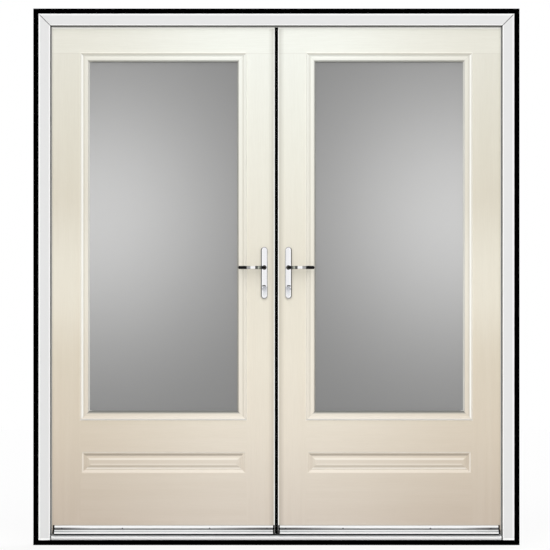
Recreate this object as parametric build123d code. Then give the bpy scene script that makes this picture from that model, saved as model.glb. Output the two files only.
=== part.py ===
from build123d import *
import math
import os

# A pair of composite French doors in their frame, opening inwards. Millimetres.
# +X is to the right seen from outside, +Z is up, and the outside faces -Y.
# z = 0 is the underside of the packer, x = 0 is the middle of the opening
# and y = 0 is half way through the depth of the frame.
# The master leaf is on the left. Each leaf is drawn on the left and mirrored for the right.

# Outer frame
frame_width = 1890.0
frame_height = 2090.0
frame_depth = 70.0
frame_sight = 47.0
rebate_inset = 32.0
nib_thickness = 16.0
frame_wall = 3.0
frame_edge_radius = 3.5

# What closes the frame to the wall and the floor
perimeter_seal_width = 20.0
perimeter_seal_depth = 30.0
perimeter_seal_setback = 2.0
packer_height = 20.0

# Fixing holes through the jambs
fixing_radius = 5.0
fixing_spacing = 600.0
fixings_per_jamb = 4
fixing_y = 12.0

# Threshold
threshold_rise = 19.0
threshold_wall = 2.5
threshold_nose = 8.0

# Weather seals of the frame
gasket_thickness = 4.0
gasket_show = 6.5
gasket_back_gap = 2.0
floor_seal_width = 7.0
floor_seal_clearance = 0.6
floor_seal_setback = 2.0

# Leaves
leaf_thickness = 44.0
leaf_edge_gap = 4.0
leaf_floor_gap = 6.0
meeting_gap = 12.0
skin_thickness = 2.5
subframe_width = 45.0
edge_band = 4.0

# Glazing
stile_show = 113.0
top_rail_depth = 119.0
cassette_sill = 452.0
cassette_width = 35.0
cassette_overlap = 10.0
cassette_height = 8.0
cassette_clearance = 0.5
glass_clearance = 2.0
glass_unit_thickness = 28.0
pane_thickness = 4.0
spacer_width = 12.0

# Lower panel pressed into both skins
panel_side_inset = 6.0
panel_sill = 241.0
panel_height = 81.0
panel_step = 2.0
panel_depth = 7.0
panel_bevel = 12.0
panel_rise = 15.0
panel_field_depth = 1.5

# Handles
handle_backset = 42.0
lever_height = 1082.0
backplate_width = 26.0
backplate_height = 206.0
backplate_thickness = 8.0
backplate_edge = 2.0
backplate_below_lever = 124.0
lever_bar_radius = 6.5
lever_neck_radius = 9.0
lever_length = 104.0
lever_reach = 35.0
lever_bend = 12.0
lever_clearance = 0.08
spindle_size = 8.0
spindle_grip = 18.0
lever_to_cylinder = 85.0

# Cylinder and thumb-turn
cylinder_radius = 8.5
cylinder_height = 33.0
cylinder_leg = 10.0
cylinder_projection = 2.5
cylinder_clearance = 0.3
keyway_width = 2.0
keyway_height = 9.0
keyway_depth = 12.0
turn_stem_radius = 5.0
turn_stem_length = 20.0
turn_width = 28.0
turn_thickness = 12.0
turn_depth = 14.0
turn_gap = 0.5

# Lock
faceplate_width = 24.0
faceplate_thickness = 3.0
faceplate_end_gap = 60.0
rail_width = 16.0
rail_thickness = 2.8
rail_clearance = 0.3
rail_throw = 20.0
case_thickness = 16.0
case_depth = 60.0
case_above_lever = 60.0
case_below_lever = 130.0
case_clearance = 0.5
slide_clearance = 0.3
bolt_recess = 0.3
latch_rise = 29.0
latch_height = 22.0
latch_thickness = 12.0
latch_length = 50.0
latch_bevel = 9.0
latch_throw = 20.0
deadbolt_drop = 42.0
deadbolt_height = 28.0
deadbolt_thickness = 10.0
deadbolt_length = 52.0
deadbolt_throw = 25.0
cam_radius = 10.0
cam_bore_radius = 6.0
cam_arm_reach = 14.0
cam_arm_width = 7.0
cam_thickness = 6.0

# Hooks of the master leaf
hook_spacing = 600.0
hook_inset = 14.0
hook_radius = 40.0
hook_claw_depth = 6.5
hook_claw_angle = 26.0
hook_arm_angle = 9.0
hook_hub_radius = 8.0
hook_pin_radius = 3.0
hook_pin_clearance = 0.08
hook_thickness = 6.0
hook_swing = 120.0
hook_case_wall = 1.5

# Slave leaf: keeps, shootbolts and meeting seal
keep_clearance = 1.5
keep_pocket_depth = 14.0
slave_case_inset = 18.0
shootbolt_radius = 5.0
shootbolt_inset = 24.0
shootbolt_clearance = 0.1
shootbolt_recess = 0.5
shootbolt_throw = 18.0
shootbolt_grip = 25.0
keep_plate_thickness = 2.0
keep_plate_width = 24.0
keep_plate_length = 44.0
keep_hole_clearance = 0.6
meeting_seal_depth = 7.0
meeting_seal_cover = 8.0
meeting_seal_setback = 1.5

# Weatherbar
weatherbar_hinge_gap = 3.5
weatherbar_meeting_gap = 1.5
weatherbar_cap = 6.0
weatherbar_reach = 29.5
weatherbar_height = 33.0
weatherbar_flange = 3.5
weatherbar_nose = 6.0
weatherbar_wall = 2.0
weatherbar_groove_height = 4.0
weatherbar_groove_depth = 1.4

# Hinges
hinges_per_leaf = 3
hinge_end_distance = 280.0
hinge_height = 100.0
hinge_knuckle_radius = 8.0
hinge_knuckle_gap = 0.3
hinge_axis_rise = 9.0
hinge_leaf_thickness = 3.0
hinge_frame_leaf_width = 20.0
hinge_door_leaf_width = 35.0
hinge_pin_radius = 4.0
hinge_pin_clearance = 0.05
hinge_pin_head_radius = 6.5
hinge_pin_head_height = 3.0

# Places that follow from the sizes above
outer_y = -frame_depth / 2
inner_y = frame_depth / 2
frame_bottom = packer_height
frame_top = frame_bottom + frame_height
frame_left = -frame_width / 2
nib_back_y = outer_y + nib_thickness
threshold_top = frame_bottom + threshold_rise

leaf_face_y = nib_back_y + gasket_thickness
leaf_back_y = leaf_face_y + leaf_thickness
leaf_mid_y = (leaf_face_y + leaf_back_y) / 2
leaf_hinge_x = frame_left + rebate_inset + leaf_edge_gap
leaf_meeting_x = -meeting_gap / 2
leaf_bottom = threshold_top + leaf_floor_gap
leaf_top = frame_top - rebate_inset - leaf_edge_gap

seen_left = frame_left + frame_sight + gasket_show
cassette_left = seen_left + stile_show
cassette_right = leaf_meeting_x - stile_show
cassette_bottom = leaf_bottom + cassette_sill
cassette_top = leaf_top - top_rail_depth
aperture = (
    cassette_left + cassette_overlap,
    cassette_right - cassette_overlap,
    cassette_bottom + cassette_overlap,
    cassette_top - cassette_overlap,
)
glass_outer_y = leaf_mid_y - glass_unit_thickness / 2
glass_inner_y = leaf_mid_y + glass_unit_thickness / 2

handle_x = leaf_meeting_x - handle_backset
lever_z = frame_bottom + lever_height
cylinder_z = lever_z - lever_to_cylinder
faceplate_back_x = leaf_meeting_x - faceplate_thickness
case_front_x = faceplate_back_x - rail_thickness - 2 * rail_clearance
case_bottom = lever_z - case_below_lever
case_top = lever_z + case_above_lever
bolt_front_x = leaf_meeting_x - bolt_recess
latch_z = lever_z + latch_rise
deadbolt_z = lever_z - deadbolt_drop
hook_x = leaf_meeting_x - hook_inset
hook_heights = (lever_z - hook_spacing, lever_z + hook_spacing)
shootbolt_x = -leaf_meeting_x + shootbolt_inset
hinge_x = frame_left + rebate_inset + leaf_edge_gap / 2
hinge_y = inner_y + hinge_axis_rise
hinge_span = leaf_top - leaf_bottom - 2 * hinge_end_distance
hinge_heights = [
    leaf_bottom + hinge_end_distance + i * hinge_span / (hinges_per_leaf - 1)
    for i in range(hinges_per_leaf)
]


def block(x0, x1, y0, y1, z0, z1):
    middle = ((x0 + x1) / 2, (y0 + y1) / 2, (z0 + z1) / 2)
    return Pos(*middle) * Box(abs(x1 - x0), abs(y1 - y0), abs(z1 - z0))


def rod_x(radius, x0, x1, y, z):
    return Pos((x0 + x1) / 2, y, z) * Rot(0, 90, 0) * Cylinder(radius, abs(x1 - x0))


def rod_y(radius, x, y0, y1, z):
    return Pos(x, (y0 + y1) / 2, z) * Rot(90, 0, 0) * Cylinder(radius, abs(y1 - y0))


def rod_z(radius, x, y, z0, z1):
    return Pos(x, y, (z0 + z1) / 2) * Cylinder(radius, abs(z1 - z0))


def extrude_y(sketch, x, z, y0, y1):
    # A sketch drawn as seen from outside, with its own x and y along X and Z.
    plane = Plane(origin=(x, y0, z), x_dir=(1, 0, 0), z_dir=(0, -1, 0))
    return extrude(plane * sketch, amount=y0 - y1)


def outline(points):
    return make_face(Polyline(*points, close=True))


def mirrored(shape):
    return mirror(shape, about=Plane.YZ)


def through_leaf(shape):
    # The same shape on the other face of the leaf.
    return mirror(shape, about=Plane(origin=(0, leaf_mid_y, 0), z_dir=(0, 1, 0)))


def ring(x0, x1, z0, z1, width, y0, y1):
    # A flat rectangular frame that is width wide on all four sides.
    hole = block(x0 + width, x1 - width, y0 - 1, y1 + 1, z0 + width, z1 - width)
    return block(x0, x1, y0, y1, z0, z1) - hole


# Outer frame


def frame_section():
    # Section in (distance from the outer edge, y): sight face, nib and rebate wall.
    body = outline([
        (0, outer_y),
        (frame_sight, outer_y),
        (frame_sight, nib_back_y),
        (rebate_inset, nib_back_y),
        (rebate_inset, inner_y),
        (0, inner_y),
    ])
    front = [v for v in body.vertices() if abs(v.Y - outer_y) < 0.01]
    body = fillet(front, frame_edge_radius)
    web = rebate_inset * 0.32
    y_low = nib_back_y + frame_wall
    y_high = inner_y - frame_wall
    outer_chamber = Pos((frame_wall + web) / 2, (y_low + y_high) / 2)
    outer_chamber *= Rectangle(web - frame_wall, y_high - y_low)
    left = web + frame_wall
    right = rebate_inset - frame_wall
    main_chamber = Pos((left + right) / 2, (y_low + y_high) / 2)
    main_chamber *= Rectangle(right - left, y_high - y_low)
    nib_chamber = Pos(frame_sight / 2, (outer_y + nib_back_y) / 2)
    nib_chamber *= Rectangle(frame_sight - 2 * frame_wall, nib_thickness - 2 * frame_wall)
    return body - outer_chamber - main_chamber - nib_chamber


def fixing_heights():
    middle = (frame_bottom + frame_top) / 2
    first = middle - fixing_spacing * (fixings_per_jamb - 1) / 2
    return [first + i * fixing_spacing for i in range(fixings_per_jamb)]


def frame_jamb():
    plane = Plane(origin=(frame_left, 0, frame_bottom), x_dir=(1, 0, 0), z_dir=(0, 0, 1))
    jamb = extrude(plane * frame_section(), amount=frame_height)
    over = frame_sight * 2
    waste = outline([(0, 0), (over, 0), (over, -over)])
    jamb -= extrude_y(waste, frame_left, frame_top, outer_y - 1, inner_y + 1)
    for z in fixing_heights():
        jamb -= rod_x(fixing_radius, frame_left - 1, frame_left + frame_sight, fixing_y, z)
    return jamb


def frame_head():
    plane = Plane(origin=(frame_left, 0, frame_top), x_dir=(0, 0, -1), z_dir=(1, 0, 0))
    head = extrude(plane * frame_section(), amount=frame_width)
    over = frame_sight * 2
    waste = outline([(0, 0), (0, -over), (over, -over)])
    cut = extrude_y(waste, frame_left, frame_top, outer_y - 1, inner_y + 1)
    head = head - cut - mirrored(cut)
    bolt_hole = shootbolt_radius + keep_hole_clearance
    wall_z = frame_top - rebate_inset
    return head - rod_z(bolt_hole, shootbolt_x, leaf_mid_y, wall_z - 1, wall_z + frame_wall + 1)


def arch(inset, drop, y0, y1):
    # A band round both jambs and the head, drawn from its outer inset to its inner one.
    x_out, x_in = frame_left + inset, frame_left + drop
    outer = block(x_out, -x_out, y0, y1, threshold_top, frame_top - inset)
    return outer - block(x_in, -x_in, y0 - 1, y1 + 1, threshold_top - 1, frame_top - drop)


def frame_seals():
    lip = frame_sight + gasket_show
    gasket = arch(rebate_inset + gasket_back_gap, lip, nib_back_y, leaf_face_y)
    y0 = leaf_face_y + floor_seal_setback
    x = frame_left + rebate_inset
    floor_top = leaf_bottom - floor_seal_clearance
    floor_seal = block(x, -x, y0, y0 + floor_seal_width, threshold_top, floor_top)
    return Compound([gasket.solid(), floor_seal.solid()])


def perimeter_seal():
    y0 = outer_y + perimeter_seal_setback
    y1 = y0 + perimeter_seal_depth
    x_out = frame_left - perimeter_seal_width
    z_out = frame_top + perimeter_seal_width
    outer = block(x_out, -x_out, y0, y1, frame_bottom, z_out)
    return outer - block(frame_left, -frame_left, y0 - 1, y1 + 1, frame_bottom - 1, frame_top)


def threshold_packer():
    x = frame_left - perimeter_seal_width
    return block(x, -x, outer_y, inner_y, 0, packer_height)


def threshold():
    # Section in (y, z): drip edge and rounded nose outside, flat track with two chambers inside.
    low, top = frame_bottom, threshold_top
    nose_low = low + threshold_rise * 0.37
    nose_high = top - threshold_rise * 0.2
    nose_y = outer_y + threshold_nose * 0.25
    front = make_face(
        Polyline((nib_back_y, low), (outer_y + threshold_nose * 0.5, low),
                 (outer_y + threshold_nose * 0.5, nose_low), (nose_y, nose_low))
        + RadiusArc((nose_y, nose_low), (nose_y, nose_high), threshold_rise * 0.3)
        + Polyline((nose_y, nose_high), (outer_y + threshold_nose, nose_high),
                   (outer_y + threshold_nose, top), (nib_back_y, top), (nib_back_y, low))
    )
    section_plane = Plane(origin=(0, 0, 0), x_dir=(0, 1, 0), z_dir=(1, 0, 0))
    nib_x = frame_width / 2 - frame_sight
    wall_x = frame_width / 2 - rebate_inset
    nose = extrude(section_plane * front, amount=nib_x, both=True)
    track = block(-wall_x, wall_x, nib_back_y, inner_y, low, top)
    chamber_low, chamber_top = low + threshold_wall, top - threshold_wall
    rib_y = (nib_back_y + inner_y) / 2
    for y0, y1 in ((nib_back_y, rib_y), (rib_y, inner_y)):
        cut = (y0 + threshold_wall, y1 - threshold_wall, chamber_low, chamber_top)
        track -= block(-wall_x - 1, wall_x + 1, *cut)
    bolt_hole = shootbolt_radius + keep_hole_clearance
    hole = rod_z(bolt_hole, shootbolt_x, leaf_mid_y, chamber_low, top + 1)
    return nose + track - hole


def shootbolt_keeps():
    hole_radius = shootbolt_radius + keep_hole_clearance
    plates = []
    wall_z = frame_top - rebate_inset
    for z0, z1 in (
        (wall_z - keep_plate_thickness, wall_z),
        (threshold_top, threshold_top + keep_plate_thickness),
    ):
        x0, x1 = shootbolt_x - keep_plate_length / 2, shootbolt_x + keep_plate_length / 2
        y0, y1 = leaf_mid_y - keep_plate_width / 2, leaf_mid_y + keep_plate_width / 2
        plate = block(x0, x1, y0, y1, z0, z1)
        plate -= rod_z(hole_radius, shootbolt_x, leaf_mid_y, z0 - 1, z1 + 1)
        plates.append(plate.solid())
    return Compound(plates)


# Hinges


def knuckle(z0, z1):
    bore = rod_z(hinge_pin_radius + hinge_pin_clearance, hinge_x, hinge_y, z0 - 1, z1 + 1)
    return rod_z(hinge_knuckle_radius, hinge_x, hinge_y, z0, z1), bore


def web(points, z0, z1):
    return Pos(hinge_x, hinge_y, z0) * extrude(outline(points), amount=z1 - z0)


def hinge_frame_leaf(z):
    # Plate on the jamb, with a knuckle above and one below the door's.
    r, t = hinge_knuckle_radius, hinge_leaf_thickness
    part_height = hinge_height * 0.3
    face = inner_y - hinge_y
    inner_end = -r - t * 0.7
    outer_end = inner_end - hinge_frame_leaf_width
    leaf = web([(outer_end, face), (inner_end, face), (inner_end, face + t),
                (outer_end, face + t)], z - hinge_height / 2, z + hinge_height / 2)
    gusset = [(inner_end - t, face), (-t * 0.7, face), (0, -r * 0.6), (0, r),
              (inner_end - 2 * t, face + t)]
    for z0 in (z - hinge_height / 2, z + hinge_height / 2 - part_height):
        barrel, bore = knuckle(z0, z0 + part_height)
        leaf = leaf + barrel + web(gusset, z0, z0 + part_height) - bore
    return leaf.solid()


def hinge_door_leaf(z):
    # Plate on the inner skin, with one knuckle between the two of the jamb.
    r, t = hinge_knuckle_radius, hinge_leaf_thickness
    face = leaf_back_y - hinge_y
    start = leaf_hinge_x - hinge_x + t * 0.5
    end = start + hinge_door_leaf_width
    leaf = web([(start + t, face), (end, face), (end, face + t), (start + t, face + t)],
               z - hinge_height / 2, z + hinge_height / 2)
    half = hinge_height * 0.2 - hinge_knuckle_gap
    barrel, bore = knuckle(z - half, z + half)
    gusset = [(start, -r * 0.8), (start, face), (end - t, face), (end - t, face + t), (0, r)]
    return (leaf + barrel + web(gusset, z - half, z + half) - bore).solid()


def hinge_pin(z):
    half = hinge_height / 2
    pin = rod_z(hinge_pin_radius, hinge_x, hinge_y, z - half, z + half)
    for z0 in (z - half - hinge_pin_head_height, z + half):
        pin += rod_z(hinge_pin_head_radius, hinge_x, hinge_y, z0, z0 + hinge_pin_head_height)
    return pin.solid()


def hinge_group(maker):
    return Compound([maker(z) for z in hinge_heights])


def both_sides(group):
    return Compound(list(group.solids()) + list(mirrored(group).solids()))


# Leaf slab


def panel_rectangle(inset, y):
    x0 = cassette_left + panel_side_inset + inset
    x1 = cassette_right - panel_side_inset - inset
    z0 = leaf_bottom + panel_sill + inset
    z1 = z0 + panel_height - 2 * inset
    plane = Plane(origin=((x0 + x1) / 2, y, (z0 + z1) / 2), x_dir=(1, 0, 0), z_dir=(0, -1, 0))
    return plane * Rectangle(x1 - x0, z1 - z0)


def panel_relief(grow, shift):
    # A stepped and bevelled channel with mitred corners round a raised field.
    step_y = leaf_face_y + panel_step + shift
    deep_y = leaf_face_y + panel_depth + shift
    field_y = leaf_face_y + panel_field_depth + shift
    edge, low, high = -grow, panel_bevel - grow, panel_bevel + grow
    field = panel_bevel + panel_rise + grow
    mouth = extrude(panel_rectangle(edge, leaf_face_y - 1), amount=-(step_y - leaf_face_y + 1))
    channel = loft([panel_rectangle(edge, step_y), panel_rectangle(low, deep_y)])
    raised = loft([panel_rectangle(high, deep_y), panel_rectangle(field, field_y)])
    return mouth + channel - raised


def leaf_aperture():
    x0, x1, z0, z1 = aperture
    return block(x0, x1, leaf_face_y - 1, leaf_back_y + 1, z0, z1)


def handle_holes():
    # What the spindle and the cylinder pass through, drilled right through the leaf.
    spindle = rod_y(lever_neck_radius + 1, handle_x, leaf_face_y - 1, leaf_back_y + 1, lever_z)
    return spindle + cylinder_body(cylinder_clearance + 1, leaf_face_y - 1, leaf_back_y + 1)


def outer_skin():
    x1 = leaf_meeting_x - edge_band
    skin = block(leaf_hinge_x, x1, leaf_face_y, leaf_face_y + skin_thickness, leaf_bottom, leaf_top)
    back = panel_relief(skin_thickness, skin_thickness)
    back -= block(leaf_hinge_x, x1, leaf_face_y - 5, leaf_face_y, leaf_bottom, leaf_top)
    return skin + back - panel_relief(0, 0) - leaf_aperture() - handle_holes()


def leaf_core(lock_space):
    x0, x1 = leaf_hinge_x + subframe_width, leaf_meeting_x - subframe_width
    z0, z1 = leaf_bottom + subframe_width, leaf_top - subframe_width
    y0, y1 = leaf_face_y + skin_thickness, leaf_back_y - skin_thickness
    pressed = panel_relief(skin_thickness, skin_thickness)
    core = block(x0, x1, y0, y1, z0, z1) - leaf_aperture() - handle_holes()
    return core - pressed - through_leaf(pressed) - lock_space


def leaf_subframe(lock_space):
    # Stiles and rails glued into one frame, with a band that closes the skins' edge.
    y0, y1 = leaf_face_y + skin_thickness, leaf_back_y - skin_thickness
    x1 = leaf_meeting_x
    frame = ring(leaf_hinge_x, x1, leaf_bottom, leaf_top, subframe_width, y0, y1)
    frame += block(x1 - edge_band, x1, leaf_face_y, leaf_back_y, leaf_bottom, leaf_top)
    return frame - lock_space - handle_holes()


# Glazing


def cassette():
    # Moulded surround: a bead, a cove, a flat and a slope down to the glass.
    face, top = leaf_face_y, leaf_face_y - cassette_height
    w = cassette_width
    flat_y = face - cassette_height * 0.45
    leg = cassette_overlap + cassette_clearance
    bead = (
        Polyline((leg, face), (0, face), (0, face - cassette_height * 0.35))
        + ThreePointArc((0, face - cassette_height * 0.35), (w * 0.06, top + 1.1), (w * 0.17, top))
        + ThreePointArc((w * 0.17, top), (w * 0.26, top + 0.7), (w * 0.32, top + 2.6))
        + ThreePointArc((w * 0.32, top + 2.6), (w * 0.42, flat_y - 0.4), (w * 0.55, flat_y))
        + Polyline((w * 0.55, flat_y), (w * 0.87, flat_y), (w, face + 2),
                   (w, glass_outer_y), (leg, glass_outer_y), (leg, face))
    )
    section_plane = Plane(
        origin=(cassette_left, 0, (cassette_bottom + cassette_top) / 2),
        x_dir=(1, 0, 0),
        z_dir=(0, 0, 1),
    )
    z_mid = (cassette_bottom + cassette_top) / 2
    path = Polyline(
        (cassette_left, 0, z_mid),
        (cassette_left, 0, cassette_top),
        (cassette_right, 0, cassette_top),
        (cassette_right, 0, cassette_bottom),
        (cassette_left, 0, cassette_bottom),
        close=True,
    )
    return sweep(section_plane * make_face(bead), path=path, transition=Transition.RIGHT)


def glass_edges():
    grip = cassette_overlap + glass_clearance
    return (
        cassette_left + grip,
        cassette_right - grip,
        cassette_bottom + grip,
        cassette_top - grip,
    )


def outer_pane():
    x0, x1, z0, z1 = glass_edges()
    return block(x0, x1, glass_outer_y, glass_outer_y + pane_thickness, z0, z1)


def glass_spacer():
    y0, y1 = glass_outer_y + pane_thickness, glass_inner_y - pane_thickness
    return ring(*glass_edges(), spacer_width, y0, y1)


# Handles


def backplate():
    z0 = lever_z - backplate_below_lever
    plate = SlotCenterToCenter(backplate_height - backplate_width, backplate_width, rotation=90)
    middle = z0 + backplate_height / 2
    plate = extrude_y(plate, handle_x, middle, leaf_face_y, leaf_face_y - backplate_thickness)
    front = plate.faces().sort_by(Axis.Y)[0]
    plate = fillet(front.edges(), backplate_edge)
    front_y, back_y = leaf_face_y - backplate_thickness - 1, leaf_face_y + 1
    plate -= rod_y(lever_neck_radius + lever_clearance, handle_x, front_y, back_y, lever_z)
    return plate - cylinder_body(cylinder_clearance, front_y, back_y)


def lever():
    # Straight neck out of the backplate, a tight bend, and a round bar with a domed end.
    start_y = leaf_face_y
    bar_y = leaf_face_y - backplate_thickness - lever_reach
    tip_x = handle_x - lever_length + lever_bar_radius
    neck = rod_y(lever_neck_radius, handle_x, start_y, bar_y + lever_bend + 2, lever_z)
    rim = neck.edges().filter_by(GeomType.CIRCLE).sort_by(Axis.Y)[0]
    neck = fillet(rim, (lever_neck_radius - lever_bar_radius) * 0.95)
    path = (
        Line((handle_x, bar_y + lever_bend + 6, lever_z), (handle_x, bar_y + lever_bend, lever_z))
        + ThreePointArc(
            (handle_x, bar_y + lever_bend, lever_z),
            (handle_x - lever_bend * (1 - math.sqrt(0.5)), bar_y + lever_bend * (1 - math.sqrt(0.5)), lever_z),
            (handle_x - lever_bend, bar_y, lever_z),
        )
        + Line((handle_x - lever_bend, bar_y, lever_z), (tip_x, bar_y, lever_z))
    )
    start = Plane(origin=path @ 0, z_dir=path % 0)
    bar = sweep(start * Circle(lever_bar_radius), path=path)
    tip = Pos(tip_x, bar_y, lever_z) * Sphere(lever_bar_radius)
    return neck + bar + tip - spindle_bar()


def spindle_bar():
    half = spindle_size / 2
    end = spindle_grip - 1
    return block(handle_x - half, handle_x + half, leaf_face_y - end, leaf_back_y + end,
                 lever_z - half, lever_z + half)


def cylinder_profile(grow):
    round_part = Circle(cylinder_radius + grow)
    leg_height = cylinder_height - cylinder_radius
    leg = Pos(0, -leg_height / 2) * RectangleRounded(
        cylinder_leg + 2 * grow, leg_height + 2 * grow, (cylinder_leg + 2 * grow) * 0.45
    )
    neck = Pos(0, -leg_height / 4) * Rectangle(cylinder_leg + 2 * grow, leg_height / 2)
    return round_part + leg + neck


def cylinder_body(grow, y0, y1):
    return extrude_y(cylinder_profile(grow), handle_x, cylinder_z, y1, y0)


def cylinder(with_turn):
    out = backplate_thickness + cylinder_projection
    y0, y1 = leaf_face_y - out, leaf_back_y + out
    body = cylinder_body(0, y0, y1)
    body -= block(handle_x - keyway_width / 2, handle_x + keyway_width / 2, y0 - 1,
                  y0 + keyway_depth, cylinder_z - keyway_height / 2,
                  cylinder_z + keyway_height / 2)
    if with_turn:
        bore = turn_stem_radius + lever_clearance
        body -= rod_y(bore, handle_x, y1 - turn_stem_length - 1, y1 + 1, cylinder_z)
    return body


def thumbturn():
    y1 = leaf_back_y + backplate_thickness + cylinder_projection
    knob_y = y1 + turn_gap
    stem = rod_y(turn_stem_radius, handle_x, y1 - turn_stem_length, knob_y + 1, cylinder_z)
    grip = extrude_y(
        SlotOverall(turn_width, turn_thickness, rotation=90),
        handle_x, cylinder_z, knob_y + turn_depth, knob_y,
    )
    grip = fillet(grip.faces().sort_by(Axis.Y)[-1].edges(), turn_thickness * 0.2)
    return stem + grip


# Lock of the master leaf


def faceplate_span(full):
    gap = 0 if full else faceplate_end_gap
    return leaf_bottom + gap, leaf_top - gap


def edge_slot(half_y, z0, z1, x0, x1):
    return block(x0, x1, leaf_mid_y - half_y, leaf_mid_y + half_y, z0, z1)


def bolt_sizes():
    # Latch and deadbolt: middle height, height and thickness.
    return (
        (latch_z, latch_height, latch_thickness),
        (deadbolt_z, deadbolt_height, deadbolt_thickness),
    )


def case_back_x():
    return case_front_x - case_depth


def hook_case_span(z):
    far = hook_radius * math.sin(math.radians(hook_swing + hook_arm_angle - 90))
    back = hook_x - far - slide_clearance - hook_case_wall
    low = z - hook_hub_radius - slide_clearance - hook_case_wall
    high = z + hook_radius + slide_clearance + hook_case_wall
    return back, case_front_x, low, high


def master_lock_space():
    # Every recess that the lock needs in the meeting stile.
    z0, z1 = faceplate_span(False)
    half = rail_width / 2 + rail_clearance
    room = case_thickness / 2 + case_clearance
    space = edge_slot(faceplate_width / 2, z0, z1, faceplate_back_x, leaf_meeting_x + 1)
    space += edge_slot(half, z0, z1, case_front_x, faceplate_back_x + 1)
    space += edge_slot(room, case_bottom - case_clearance, case_top + case_clearance,
                       case_back_x() - case_clearance, faceplate_back_x + 1)
    for z in hook_heights:
        back, front, low, high = hook_case_span(z)
        space += edge_slot(room, low - case_clearance, high + case_clearance,
                           back - case_clearance, front + 1)
    return space


def master_faceplate():
    z0, z1 = faceplate_span(False)
    plate = edge_slot(faceplate_width / 2, z0, z1, faceplate_back_x, leaf_meeting_x)
    x0, x1 = faceplate_back_x - 1, leaf_meeting_x + 1
    for z, height, thickness in bolt_sizes():
        half = height / 2 + slide_clearance
        plate -= edge_slot(thickness / 2 + slide_clearance, z - half, z + half, x0, x1)
    reach = math.sqrt(hook_radius**2 - (hook_inset - faceplate_thickness) ** 2)
    for z in hook_heights:
        plate -= edge_slot(hook_thickness / 2 + slide_clearance, z - hook_hub_radius,
                           z + reach + slide_clearance, x0, x1)
    return plate


def lock_case_body(front_x):
    body = edge_slot(case_thickness / 2, case_bottom, case_top, case_back_x(), front_x)
    y0, y1 = leaf_mid_y - case_thickness, leaf_mid_y + case_thickness
    body -= rod_y(cam_bore_radius + 0.6, handle_x, y0, y1, lever_z)
    return body - cylinder_body(cylinder_clearance, y0, y1)


def master_lock_case():
    body = lock_case_body(case_front_x)
    half_cam = cam_thickness / 2 + slide_clearance
    cavity = cam_arm_reach + slide_clearance
    body -= rod_y(cavity, handle_x, leaf_mid_y - half_cam, leaf_mid_y + half_cam, lever_z)
    back = case_back_x() + hook_case_wall
    for z, height, thickness in bolt_sizes():
        half = height / 2 + slide_clearance
        body -= edge_slot(thickness / 2 + slide_clearance, z - half, z + half,
                          back, case_front_x + 1)
    return Compound([body.solid()] + [hook_case(z).solid() for z in hook_heights])


def hook_case(z):
    back, front, low, high = hook_case_span(z)
    wall = hook_case_wall
    case = edge_slot(case_thickness / 2, low, high, back, front)
    case -= edge_slot(hook_thickness / 2 + slide_clearance, low + wall, high - wall,
                      back + wall, front + 1)
    y0, y1 = leaf_mid_y - case_thickness / 2, leaf_mid_y + case_thickness / 2
    return case + rod_y(hook_pin_radius, hook_x, y0, y1, z)


def polar(radius, degrees):
    turn = math.radians(degrees)
    return radius * math.cos(turn), radius * math.sin(turn)


def hook(z):
    # Drawn thrown, with the claw behind the keep, then turned back into its case.
    tip, inner = hook_radius, hook_radius - hook_claw_depth
    arm, claw = hook_arm_angle, -hook_claw_angle
    side = (
        ThreePointArc(polar(tip, arm), polar(tip, (arm + claw) / 2), polar(tip, claw))
        + Line(polar(tip, claw), polar(inner, claw))
        + ThreePointArc(polar(inner, claw), polar(inner, (claw - arm) / 2), polar(inner, -arm))
        + Polyline(polar(inner, -arm), polar(hook_hub_radius, -70), polar(hook_hub_radius, 70),
                   polar(tip, arm))
    )
    shape = make_face(side) + Circle(hook_hub_radius)
    shape -= Circle(hook_pin_radius + hook_pin_clearance)
    y0 = leaf_mid_y + hook_thickness / 2
    return extrude_y(Rot(0, 0, hook_swing) * shape, hook_x, z, y0, y0 - hook_thickness)


def latch():
    y0, y1 = leaf_mid_y - latch_thickness / 2, leaf_mid_y + latch_thickness / 2
    z0, z1 = latch_z - latch_height / 2, latch_z + latch_height / 2
    bolt = block(bolt_front_x - latch_length, bolt_front_x, y0, y1, z0, z1)
    nose = bolt.edges().filter_by(Axis.Z).sort_by(Axis.X)[-2:].sort_by(Axis.Y)[0]
    return chamfer(nose, latch_bevel)


def deadbolt():
    bolt = edge_slot(deadbolt_thickness / 2, deadbolt_z - deadbolt_height / 2,
                     deadbolt_z + deadbolt_height / 2, bolt_front_x - deadbolt_length,
                     bolt_front_x)
    return fillet(bolt.edges().filter_by(Axis.Y).sort_by(Axis.X)[-2:], 2)


def drive_rail():
    # Flat bar behind the faceplate, slotted so that bolts and hooks pass while it slides.
    x1 = faceplate_back_x - rail_clearance
    x0 = x1 - rail_thickness
    ends = hook_radius * 1.5
    rail = edge_slot(rail_width / 2, hook_heights[0] - ends, hook_heights[1] + ends, x0, x1)
    for z, height, thickness in bolt_sizes():
        half = height / 2 + slide_clearance
        rail -= edge_slot(thickness / 2 + slide_clearance, z - half - rail_throw, z + half,
                          x0 - 1, x1 + 1)
    for z in hook_heights:
        low = z - hook_hub_radius - slide_clearance - rail_throw
        rail -= edge_slot(hook_thickness / 2 + slide_clearance, low,
                          z + hook_radius + slide_clearance, x0 - 1, x1 + 1)
    return rail


def latch_cam():
    # Turns with the spindle only when the lever is pressed down.
    y0 = leaf_mid_y + cam_thickness / 2
    arm = Pos(0, cam_arm_reach / 2) * Rectangle(cam_arm_width, cam_arm_reach)
    arm &= Circle(cam_arm_reach)
    shape = Circle(cam_radius) + arm - Circle(cam_bore_radius)
    return extrude_y(shape, handle_x, lever_z, y0, y0 - cam_thickness)


# Lock of the slave leaf, drawn on the left


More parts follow.
